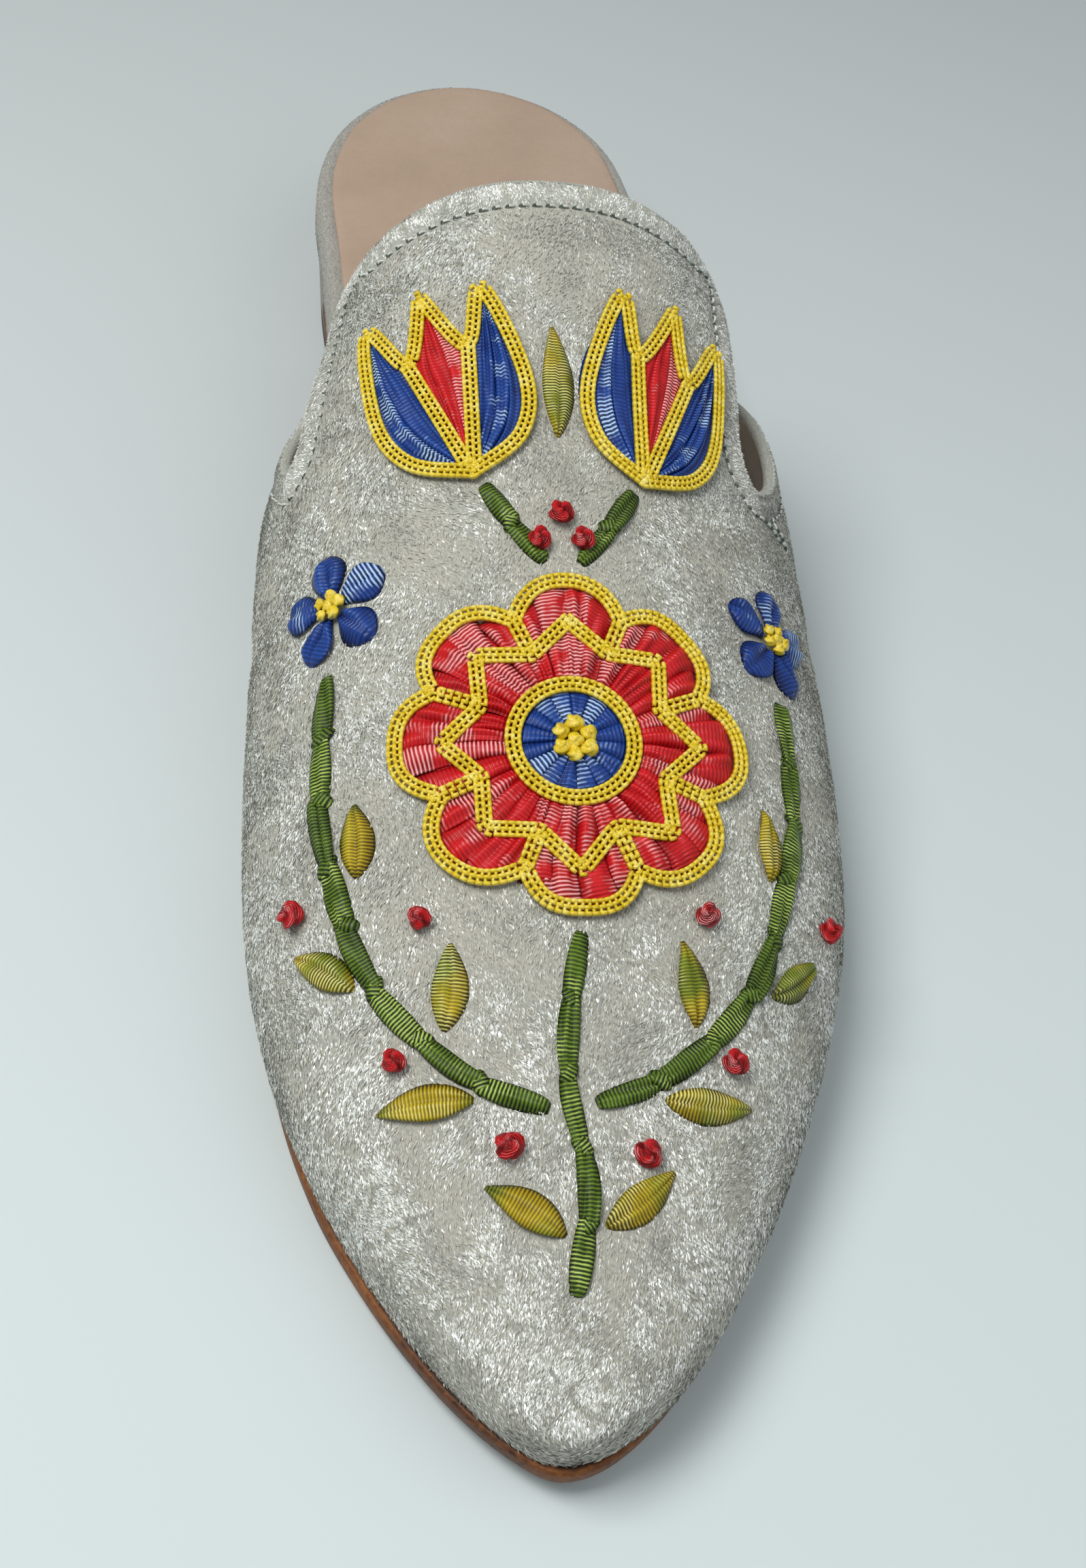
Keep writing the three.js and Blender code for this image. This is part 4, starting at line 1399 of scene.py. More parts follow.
@dataclass
class RibbonStitch:
    """One ribbon stitch: a crowned strip that dives into the cloth at both ends."""

    spine: Grid
    half_width: Grid
    crown: float = 0.9
    lift: float = 0.35
    lean: float = 0.0
    crease: float = 0.0
    wrinkle: float = 0.1
    dive: float = 1.8
    twist: float = 0.0
    seed: int = 0
    couched: Grid | None = None
    within: Callable[[Grid], Grid] | None = None

    def lay(self, draft: Draft, spread: Spread, columns: int = 9) -> None:
        """Adds the stitch to a draft.

        Args:
            draft: Gathers the mesh.
            spread: Takes drawn points onto the surface.
            columns: Points across the ribbon.
        """
        luck = np.random.default_rng(self.seed)
        steps = np.linalg.norm(np.diff(self.spine, axis=0), axis=1)
        run = np.concatenate([[0.0], np.cumsum(steps)])
        share = run / run[-1]
        way = unit(np.gradient(self.spine, axis=0))
        square = np.stack([-way[:, 1], way[:, 0]], axis=1)
        over = np.linspace(-1.0, 1.0, columns)
        under = np.array([0.6, 0.0, -0.6])
        press, press_reach, thinnest, sunk = 0.8, 1.7, 0.12, 0.05
        spots = np.concatenate([over, under])
        drawn = self.spine[:, None, :] + square[:, None, :] * (self.half_width[:, None] * spots)[..., None]
        if self.within is not None:
            drawn = self.within(drawn)
        points, ways = spread(drawn[..., 0], drawn[..., 1])
        rise = np.sin(np.clip(np.minimum(run, run[-1] - run) / self.dive, 0.0, 1.0) * math.pi / 2)[:, None]
        folds = np.zeros((len(run), columns))
        for _ in range(5):
            runs, turns = luck.uniform(-1.0, 1.0), luck.uniform(0.8, 3.2)
            wave = runs * share[:, None] + turns * over[None] / 2
            folds += np.sin(math.tau * wave + luck.uniform(0, 6.3))
        lean = self.lean * np.cos(math.pi * self.twist * share)[:, None]
        dome = self.crown * (1 - np.abs(over) ** 2.4)[None] + lean * over[None] + self.wrinkle * folds / 2
        dome = dome - self.crease * np.exp(-((over / 0.16) ** 2))[None]
        # shown is the crest height; kept as fold it paints light on the crests and shade in the valleys.
        shown = (dome - dome.min()) / max(float(np.ptp(dome)), 1e-6)
        if self.couched is not None:
            away = np.linalg.norm(drawn[:, :columns, None] - self.couched[None, None], axis=-1).min(axis=-1)
            dome = dome * (1 - press * np.exp(-((away / press_reach) ** 2)))
        top = np.maximum(self.lift * (0.35 + 0.65 * rise) + rise * dome, thinnest)
        height = np.concatenate([top, np.full((len(run), len(under)), sunk)], axis=1)
        points = points + ways * height[..., None]
        start = luck.uniform(0, 40)
        across = self.half_width[:, None] * spots
        cloth = np.stack(np.broadcast_arrays(run[:, None] + start, across), axis=-1)
        fold = np.concatenate([shown * (0.4 + 0.6 * rise), np.zeros((len(run), len(under)))], axis=1)
        faces = tube_faces(len(run), len(spots))
        # tone is a random tone, and it also picks which stitches get painted glints.
        tone = luck.uniform(0.15, 1.0)
        draft.add(points.reshape(-1, 3), faces, cloth.reshape(-1, 2), tone=tone, fold=fold.ravel())


class Finishes:
    """Every material of the shoe, made once."""

    def __init__(self) -> None:
        """Builds them all."""
        self.velvet = VelvetGround().material()
        # A darker, duller copy of the velvet for the foot board's upright rim: painted shade.
        rim_shade_tones = (0.4, 0.385, 0.345), (0.32, 0.315, 0.285)
        self.rim_velvet = VelvetGround("rim_velvet", *rim_shade_tones, sheen=0.2).material()
        # Near-white strands stand for the velvet's glints: painted highlights.
        self.pile_bright = PileFinish("pile_bright", (0.97, 1.0, 0.97), 0.34, 1.0, 0.7, 0.08).material()
        self.pile_silver = PileFinish("pile_silver", (0.7, 0.725, 0.67), 0.38, 0.8, 0.5, 0.03).material()
        self.pile_mid = PileFinish("pile_mid", (0.515, 0.5, 0.43), 0.5).material()
        self.pile_deep = PileFinish("pile_deep", (0.36, 0.365, 0.325), 0.55).material()
        # Darker strands for the board's rim: painted shade.
        self.pile_rim = PileFinish("pile_rim", (0.42, 0.415, 0.38), 0.6).material()
        self.lining = LiningCloth().material()
        self.sole = Leather(
            "sole_leather", deep=(0.035, 0.013, 0.006), body=(0.17, 0.056, 0.012),
            bright=(0.3, 0.115, 0.03), roughness=0.55, grain=0.18, pores=0.9, mottle=1.1, speck=1.0,
            burnish=0.5,
        ).material()
        self.sock = Leather(
            "sock_leather", deep=(0.33, 0.235, 0.172), body=(0.42, 0.312, 0.235),
            bright=(0.5, 0.385, 0.3), roughness=0.6, grain=0.07, pores=1.6, mottle=0.4,
        ).material()
        self.heel = Leather(
            "heel_cover", deep=(0.15, 0.125, 0.105), body=(0.235, 0.2, 0.172), bright=(0.31, 0.27, 0.235),
            roughness=0.45, grain=0.08, pores=1.1, coat=0.15,
        ).material()
        self.rubber = RubberFinish().material()
        self.red = RibbonFinish(
            "red_ribbon", deep=(0.17, 0.001, 0.002), body=(0.55, 0.008, 0.012),
            light=(0.76, 0.022, 0.028), glint=(1.0, 0.62, 0.62), rib=0.58, gleam=0.8,
        ).material()
        self.blue = RibbonFinish(
            "blue_ribbon", deep=(0.001, 0.004, 0.035), body=(0.009, 0.04, 0.22),
            light=(0.03, 0.105, 0.42), glint=(0.5, 0.72, 1.0), rib=0.64, gleam=1.0,
        ).material()
        self.green = RibbonFinish(
            "green_ribbon", deep=(0.006, 0.014, 0.001), body=(0.06, 0.105, 0.008),
            light=(0.15, 0.25, 0.022), glint=(0.56, 0.72, 0.16), rib=0.54, gleam=0.8, ribbing=0.75,
        ).material()
        self.leaf = RibbonFinish(
            "leaf_ribbon", deep=(0.07, 0.045, 0.003), body=(0.38, 0.27, 0.01), light=(0.66, 0.53, 0.03),
            glint=(0.95, 0.93, 0.36), rib=0.48, gleam=0.65, ribbing=0.55, shift=(0.4, 0.66, 1.0),
        ).material()
        self.gold = BraidFinish().material()
        self.thread = ThreadFinish().material()
        self.pale_thread = ThreadFinish("hem_loops", (0.42, 0.44, 0.4), (0.75, 0.77, 0.72)).material()
        self.floor = FloorFinish().material()


class Bench:
    """What every sub-assembly needs: shapes, finishes, trees and the fixed frame."""

    def __init__(self) -> None:
        """Makes the shapes, the finishes and the trees."""
        self.sole = SoleShape()
        self.last = LastShape(self.sole)
        self.finish = Finishes()
        self.shop = Workshop()

    def keep(self, thing: Object, slot: Slot, *nodes: str) -> None:
        """Fixes a finished piece to the frame.

        Args:
            thing: The piece.
            slot: Name of its finish; not used.
            nodes: Solids that it stands for.
        """
        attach(thing, "root")
        if nodes:
            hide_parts(*nodes)
        thing.data.calc_loop_triangles()
        LOG.info("%s: %d triangles", thing.name, len(thing.data.loop_triangles))


@dataclass
class Motif:
    """A piece of ribbon embroidery that hides the pile under it."""

    bench: Bench

    def hides(self, points: Grid) -> Grid:
        """Whether points of the velvet lie under it."""
        raise NotImplementedError

    def build(self) -> None:
        """Makes its pieces."""
        raise NotImplementedError


def polar(radius: Grid, turn: Grid) -> Grid:
    """Drawn points at a radius and a turn from straight up the drawing."""
    return np.stack([radius * np.sin(turn), radius * np.cos(turn)], axis=-1)


def turn_of(drawn: Grid) -> Grid:
    """Turn of drawn points from straight up the drawing."""
    return np.arctan2(drawn[..., 0], drawn[..., 1])


def eye_spots(radius: float, count: int, start: float = 0.0) -> Grid:
    """One drawn spot in the middle and a ring of them round it."""
    turns = np.arange(count) * math.tau / count + start
    return np.concatenate([[(0.0, 0.0)], polar(np.full(count, radius), turns)])


def looped(line: Grid) -> Grid:
    """A drawn line brought back to its start."""
    return np.concatenate([line, line[:1]])


def sampled(runs: Sequence[Grid]) -> Grid:
    """Points spaced along drawn lines."""
    return np.concatenate([evenly(line, 0.8) for line in runs])


def lay_braid(bench: Bench, name: str, runs: Sequence[Grid], spread: Spread) -> None:
    """Couches gold braid along drawn lines.

    Args:
        bench: Shapes, finishes and trees.
        name: Name of the piece.
        runs: Drawn lines.
        spread: Takes drawn points onto the surface.
    """
    spacing, width, lift = 0.98, 2.4, 1.0
    rows = []
    for line in runs:
        points, ways = spread(*evenly(line, spacing).T)
        rows.append((points + ways * lift, ways))
    shop = bench.shop
    link = shop.braid_link(spacing, width)
    braid = shop.grow(shop.path(name, rows), shop.row, link, bench.finish.gold, Spacing=spacing * MM)
    bench.keep(braid, Slot.GOLD)


@dataclass
class Knots:
    """Rolled ribbon knots set on drawn points."""

    name: str
    spots: Grid
    spread: Spread
    least: float
    most: float
    lift: float
    seed: int

    def build(self, bench: Bench, finish: Material, slot: Slot, *nodes: str) -> None:
        """Makes the knots.

        Args:
            bench: Shapes, finishes and trees.
            finish: Material.
            slot: Name of their finish, handed on to the bench.
            nodes: Solids that they stand for.
        """
        points, ways = self.spread(*self.spots.T)
        host = bench.shop.path(self.name, [(points + ways * self.lift, ways)], joined=False)
        sizes = {"Least": self.least, "Most": self.most, "Seed": self.seed}
        thing = bench.shop.grow(host, bench.shop.cluster, bench.shop.knot(), finish, **sizes)
        bench.keep(thing, slot, *nodes)


@dataclass
class PileTone:
    """Strands of one tone standing on a velvet surface."""

    name: str
    finish: Material
    strands: int
    seed: int
    clump: float = 0.0
    size: float = 1.0
    ruffle: Spot = (0.35, 0.6, 0.45)

    def build(self, bench: Bench, ground: Draft, cover: Grid) -> None:
        """Stands the strands.

        Args:
            bench: Shapes, finishes and trees.
            ground: The surface, with the way that its pile is combed.
            cover: How closely the strands stand at each point, from 0 to 1.
        """
        ground.values["cover"] = [cover]
        host = ground.piece(self.name, [self.finish], weld=False)
        fan = np.array([(face[0], *pair) for face in ground.faces for pair in zip(face[1:], face[2:])])
        spots = np.concatenate(ground.points)
        first, second, third = (spots[fan[:, k]] for k in range(3))
        area = np.linalg.norm(np.cross(second - first, third - first), axis=1) / 2 * cover[fan].mean(axis=1)
        values = {
            "Density": self.strands / (area.sum() * MM * MM), "Cover": "cover", "Clump": self.clump,
            "Size": self.size, "Ruffle": self.ruffle, "Seed": self.seed,
        }
        shop = bench.shop
        bench.keep(shop.grow(host, shop.pile, shop.strand(), self.finish, **values), Slot.VELVET)


@dataclass
class Rosette(Motif):
    """Large flower head of pleated red ribbon with a blue eye, outlined in braid."""

    across: float = 5.2
    along: float = 90.0
    radius: float = 25.5
    petals: int = 8
    scallop: float = 4.5
    eye: float = 8.5
    pleats: int = 4
    star_tip: float = 18.6
    star_notch: float = 14.0
    depth: float = 18.0

    def __post_init__(self) -> None:
        """Sets its drawing frame."""
        self.spread = DrawingFrame(self.bench.last, self.across, self.along)

    def reach(self, turn: Grid | float) -> Grid:
        """Radius of the scalloped outline."""
        return self.radius - self.scallop * (1 - np.abs(np.cos(np.asarray(turn) * self.petals / 2))) ** 1.5

    def held(self, drawn: Grid) -> Grid:
        """Draws points in to the middle of the braid at the rim."""
        far = np.maximum(np.linalg.norm(drawn, axis=-1), 1e-6)
        return drawn * np.minimum(1.0, (self.reach(turn_of(drawn)) - 1.1) / far)[..., None]

    def braid_runs(self) -> list[Grid]:
        """Lines that the braid follows.

        Returns:
            The rim, the eye's ring, a star and the spokes.
        """
        luck = np.random.default_rng(12)
        turns = np.linspace(0.0, math.tau, 193)[:-1]
        waver = 0.22 * np.sin(5 * turns + 0.7) + 0.16 * np.sin(11 * turns + 2.0)
        rim = polar(self.reach(turns) - 1.0 + waver, turns)
        ring = polar(np.full(96, self.eye), np.linspace(0.0, math.tau, 97)[:-1])
        corners = np.arange(2 * self.petals) * math.pi / self.petals
        tips = np.arange(2 * self.petals) % 2 == 0
        star = np.where(tips, self.star_tip, self.star_notch) + luck.uniform(-0.5, 0.5, len(tips))
        spokes = []
        for turn in corners[1::2]:
            radius = np.linspace(self.star_notch + 0.8, float(self.reach(turn)) - 1.6, 6)
            spokes.append(polar(radius, np.full(6, turn)))
        return [looped(rim), looped(ring), looped(polar(star, corners)), *spokes]

    def hides(self, points: Grid) -> Grid:
        """Whether points of the velvet lie under the flower."""
        drawn, off = self.spread.flat(points)
        return (np.linalg.norm(drawn, axis=1) < self.reach(turn_of(drawn)) - 0.6) & (off < self.depth)

    def build(self) -> None:
        """Makes the pleats, the eye and the braid."""
        runs = self.braid_runs()
        couched = sampled(runs)
        self.lay_pleats(couched)
        self.lay_eye(couched)
        lay_braid(self.bench, "rosette_braid", runs, self.spread)
        knots = Knots("rosette_knots", eye_spots(2.3, 6), self.spread, 1.0, 1.25, lift=0.8, seed=5)
        knots.build(self.bench, self.bench.finish.gold, Slot.GOLD)

    def lay_pleats(self, couched: Grid) -> None:
        """Makes the red pleats over a plain ground of ribbon.

        Args:
            couched: Points along the braid, which holds the ribbon down.
        """
        luck = np.random.default_rng(11)
        step = math.tau / self.petals / self.pleats
        pleats = Draft()
        for k in range(self.petals):
            radius = np.linspace(self.eye - 0.4, self.radius - self.scallop - 0.6, 10)
            spine = polar(radius, np.full(10, math.tau * k / self.petals))
            wide = radius * math.tan(math.pi / self.petals) * 1.04
            ground = RibbonStitch(spine, wide, crown=0.05, lift=0.3, wrinkle=0.02, seed=90 + k)
            ground.lay(pleats, self.spread)
        for k in range(self.petals * self.pleats):
            turn = (k + 0.5) * step + luck.uniform(-0.02, 0.02)
            radius = np.linspace(self.eye - 0.3, float(self.reach(turn)) - 0.9, 24)
            sway = luck.uniform(-0.06, 0.06) * np.sin(np.linspace(0, math.pi, 24))
            RibbonStitch(
                polar(radius, turn + sway), radius * step * 0.5 * luck.uniform(1.15, 1.4),
                crown=luck.uniform(0.8, 1.25), lift=0.5, lean=luck.uniform(0.25, 0.5),
                wrinkle=luck.uniform(0.22, 0.4), dive=2.4, seed=100 + k, couched=couched,
                within=self.held,
            ).lay(pleats, self.spread, 15)
        self.bench.keep(pleats.piece("rosette_pleats", [self.bench.finish.red]), Slot.RED, "rosette")

    def lay_eye(self, couched: Grid) -> None:
        """Makes the blue pleats of the eye.

        Args:
            couched: Points along the braid, which holds the ribbon down.
        """
        count = 16
        eye = Draft()
        for k in range(count):
            radius = np.linspace(1.0, self.eye - 0.2, 14)
            RibbonStitch(
                polar(radius, np.full(14, (k + 0.5) * math.tau / count)),
                radius * math.pi / count * 1.3, crown=0.7, lift=0.4, lean=0.2, wrinkle=0.12, dive=1.4,
                seed=300 + k, couched=couched,
            ).lay(eye, self.spread, 9)
        self.bench.keep(eye.piece("rosette_eye_pleats", [self.bench.finish.blue]), Slot.BLUE, "rosette_eye")


@dataclass
class Tulip(Motif):
    """Three-petalled flower of blue and red ribbon, outlined in braid."""

    name: str
    across: float
    along: float
    lean: float
    length: float = 32.0
    half_width: float = 12.0
    tip_spread: float = 9.5
    cleft: float = 22.0
    depth: float = 16.0

    def __post_init__(self) -> None:
        """Sets its drawing frame and its outline."""
        self.spread = DrawingFrame(self.bench.last, self.across, self.along, self.lean)
        side = through(
            [
                (0, 0), (self.half_width * 0.72, self.length * 0.14),
                (self.half_width, self.length * 0.45), (self.tip_spread, self.length),
                (self.tip_spread * 0.5, self.cleft), (0, self.length * 1.06),
            ],
            46,
        )
        self.outline = np.concatenate([side, side[-2:0:-1] * (-1, 1)])
        middle = np.array([(0.0, self.length * 0.5)])
        rim = middle + (self.outline - middle) * 0.955
        tip = self.tip_spread
        seam = through([(0.6, 2.4), (tip * 0.3, self.length * 0.4), (tip * 0.49, self.cleft - 0.6)], 18)
        self.runs = [looped(rim), seam, seam * (-1, 1)]
        self.couched = sampled(self.runs)

    def hides(self, points: Grid) -> Grid:
        """Whether points of the velvet lie under the flower."""
        drawn, off = self.spread.flat(points)
        return (depth_inside(drawn, self.outline) > 0.5) & (off < self.depth)

    def fan(self, draft: Draft, left: Grid, right: Grid, count: int, seed: int) -> None:
        """Fills the space between two lines with pleats side by side.

        Args:
            draft: Gathers the mesh.
            left: Points of one line.
            right: Points of the other.
            count: Number of pleats.
            seed: Fixes the chance in their forms.
        """
        luck = np.random.default_rng(seed)
        width = np.linalg.norm(right - left, axis=1)
        middle = (left + right) / 2
        wide = np.maximum(width / 2, 0.4)
        ground = RibbonStitch(middle, wide, crown=0.05, lift=0.3, wrinkle=0.02, seed=seed)
        ground.lay(draft, self.spread)
        for k in range(count):
            RibbonStitch(
                left + (right - left) * ((k + 0.5) / count),
                np.maximum(width / count / 2 * luck.uniform(1.2, 1.45), 0.5),
                crown=luck.uniform(0.7, 1.0), lift=0.45, lean=luck.uniform(0.2, 0.4),
                wrinkle=luck.uniform(0.2, 0.34), seed=seed * 31 + k, couched=self.couched,
            ).lay(draft, self.spread, 13)

    def build(self) -> None:
        """Makes the petals and the braid."""
        width, tip, long, cleft = self.half_width, self.tip_spread, self.length, self.cleft
        petals, heart = Draft(), Draft()
        side_in, belly = (tip * 0.3, long * 0.4), (width * 0.95, long * 0.46)
        outer = through([(0.4, 0.6), (width * 0.7, long * 0.15), belly, (tip, long * 0.97)], 22)
        inner = through([(0.2, 1.6), side_in, (tip * 0.52, cleft * 0.98), (tip * 0.93, long * 0.95)], 22)
        for side in (-1, 1):
            self.fan(petals, outer * (side, 1), inner * (side, 1), 4, 41 + side)
        right = through([(0.5, 2.0), side_in, (tip * 0.4, cleft), (0.2, long * 0.99)], 22)
        self.fan(heart, right * (-1, 1), right, 3, 47)
        self.bench.keep(petals.piece(f"{self.name}_petals", [self.bench.finish.blue]), Slot.BLUE, self.name)
        self.bench.keep(heart.piece(f"{self.name}_heart", [self.bench.finish.red]), Slot.RED)
        lay_braid(self.bench, f"{self.name}_braid", self.runs, self.spread)


@dataclass
class Daisy(Motif):
    """Small flower of five single ribbon stitches round gold knots."""

    name: str
    across: float
    along: float
    radius: float = 9.4
    petals: int = 5
    depth: float = 12.0

    def __post_init__(self) -> None:
        """Sets its drawing frame."""
        self.spread = DrawingFrame(self.bench.last, self.across, self.along)

    def hides(self, points: Grid) -> Grid:
        """Whether points of the velvet lie under the petals.

        Args:
            points: Points of the velvet.

        Returns:
            True where a point is covered.
        """
        drawn, off = self.spread.flat(points)
        lobe = np.abs(np.cos(turn_of(drawn) * self.petals / 2)) ** 0.6
        return (np.linalg.norm(drawn, axis=1) < 8.8 * np.maximum(lobe, 0.3)) & (off < self.depth)

    def build(self) -> None:
        """Makes the petals and the knots."""
        petals = Draft()
        share = np.linspace(0.0, 1.0, 18)
        for k in range(self.petals):
            radius = np.linspace(1.6, self.radius - 0.1, 18)
            RibbonStitch(
                polar(radius, np.full(18, math.tau * k / self.petals)),
                0.7 + 2.55 * np.sin(math.pi * share**1.35) ** 0.8, crown=1.0, lift=0.4, lean=0.25,
                crease=0.4, wrinkle=0.22, dive=2.0, seed=500 + 7 * k + len(self.name),
            ).lay(petals, self.spread, 11)
        self.bench.keep(petals.piece(f"{self.name}_petals", [self.bench.finish.blue]), Slot.BLUE, self.name)
        spots = eye_spots(1.75, 5, 0.3)
        knots = Knots(f"{self.name}_knots", spots, self.spread, 0.85, 1.05, lift=0.9, seed=9)
        knots.build(self.bench, self.bench.finish.gold, Slot.GOLD, f"{self.name}_eye")


@dataclass
class Stem(Motif):
    """Line of short green ribbon stitches."""

    name: str
    route: Sequence[tuple[float, float]]
    width: float = 2.8
    stitch: float = 10.0

    def __post_init__(self) -> None:
        """Makes the smooth route in plan."""
        self.path = evenly(through(self.route, 60), 0.5)

    def hides(self, points: Grid) -> Grid:
        """Whether points of the velvet lie under the stem."""
        away = np.linalg.norm(points[:, None, :2] - self.path[None, ::4], axis=-1).min(axis=1)
        return (away < self.width * 0.36) & (points[:, 2] > 14)

    def build(self) -> None:
        """Makes the stitches."""
        luck = np.random.default_rng(len(self.name) * 13 + len(self.path))
        count = max(int(round(len(self.path) * 0.5 / self.stitch)), 1)
        draft = Draft()
        for k in range(count):
            low = max(int(len(self.path) * k / count) - 2, 0)
            high = min(int(len(self.path) * (k + 1) / count) + 3, len(self.path))
            spine = evenly(self.path[low:high], 0.5)
            share = np.linspace(0.0, 1.0, len(spine))
            spine += luck.uniform(-0.45, 0.45, 2) * (share - 0.5)[:, None] + luck.uniform(-0.15, 0.15, 2)
            full = 0.44 + 0.56 * np.sin(math.pi * share) ** 0.5
            if k > 0:
                self.bind(draft, spine[2], spine[3] - spine[2], luck.uniform(0.5, 0.9) * (-1) ** k, k)
            RibbonStitch(
                spine, self.width / 2 * full * luck.uniform(0.98, 1.15), crown=luck.uniform(0.4, 0.6),
                lift=0.35 + 0.2 * (k % 2), lean=luck.choice((-0.42, 0.42)), crease=luck.uniform(0.0, 0.3),
                wrinkle=0.16, dive=1.3, twist=1.0, seed=700 + 17 * k + len(self.path),
            ).lay(draft, self.bench.last.over)
        self.bench.keep(draft.piece(f"{self.name}_ribbon", [self.bench.finish.green]), Slot.GREEN, self.name)

    def bind(self, draft: Draft, place: Grid, way: Grid, turn: float, number: int) -> None:
        """Lays a short turn of ribbon aslant over a joint.

        Args:
            draft: Gathers the mesh.
            place: The joint in plan.
            way: Way of the stem there.
            turn: How far the ribbon slants, in radians.
            number: Which joint it is.
        """
        cos, sin = math.cos(turn), math.sin(turn)
        slant = np.array((cos * way[0] - sin * way[1], sin * way[0] + cos * way[1]))
        run = np.linspace(-1.7, 1.7, 11)
        RibbonStitch(
            place + unit(slant[None]) * run[:, None],
            0.55 + 0.55 * np.cos(run / 1.7 * math.pi / 2) ** 0.6, crown=0.45, lift=0.75, wrinkle=0.1,
            dive=1.5, seed=900 + number,
        ).lay(draft, self.bench.last.over, 7)


@dataclass
class Leaf(Motif):
    """One gold-green ribbon stitch, folded down its middle."""

    name: str
    across: float
    along: float
    degrees: float
    length: float
    half_width: float = 2.5
    depth: float = 8.0

    def __post_init__(self) -> None:
        """Sets its drawing frame."""
        self.spread = DrawingFrame(self.bench.last, self.across, self.along, -math.radians(self.degrees))

    def hides(self, points: Grid) -> Grid:
        """Whether points of the velvet lie under the leaf.

        Args:
            points: Points of the velvet.

        Returns:
            True where a point is covered.
        """
        drawn, off = self.spread.flat(points)
        share = np.clip(drawn[:, 1] / self.length, 0.0, 1.0)
        within = np.abs(drawn[:, 0]) < self.half_width * np.sin(math.pi * share**0.85) * 0.85
        return within & (off < self.depth)

    def build(self) -> None:
        """Makes the stitch."""
        share = np.linspace(0.0, 1.0, 24)
        draft = Draft()
        RibbonStitch(
            np.stack([0.5 * np.sin(math.pi * share), share * self.length], axis=1),
            0.3 + 2.2 * np.sin(math.pi * share**0.85), crown=0.9, lift=0.45, crease=0.5, lean=0.45,
            wrinkle=0.14, dive=2.2, seed=sum(map(ord, self.name)),
        ).lay(draft, self.spread, 11)
        self.bench.keep(draft.piece(f"{self.name}_ribbon", [self.bench.finish.leaf]), Slot.LEAF, self.name)


@dataclass
class Berries(Motif):
    """Red ribbon knots scattered beside the stems."""

    spots: Sequence[tuple[float, float]]

    def hides(self, points: Grid) -> Grid:
        """Knots are small enough to sit in the pile."""
        return np.zeros(len(points), bool)

    def build(self) -> None:
        """Makes the knots."""
        knots = Knots("berry_knots", np.array(self.spots), self.bench.last.over, 1.5, 1.9, lift=0.5, seed=21)
        knots.build(self.bench, self.bench.finish.red, Slot.RED)


class Column:
    """Where each value stands in a row of the upper's grid."""

    OUTER = slice(0, 3)
    INNER = slice(3, 6)
    OUT = slice(6, 9)
    COMB = slice(9, 12)
    CLOTH = slice(12, 14)
    PILE = 14
    LIGHT = 15
    SIZE = 16


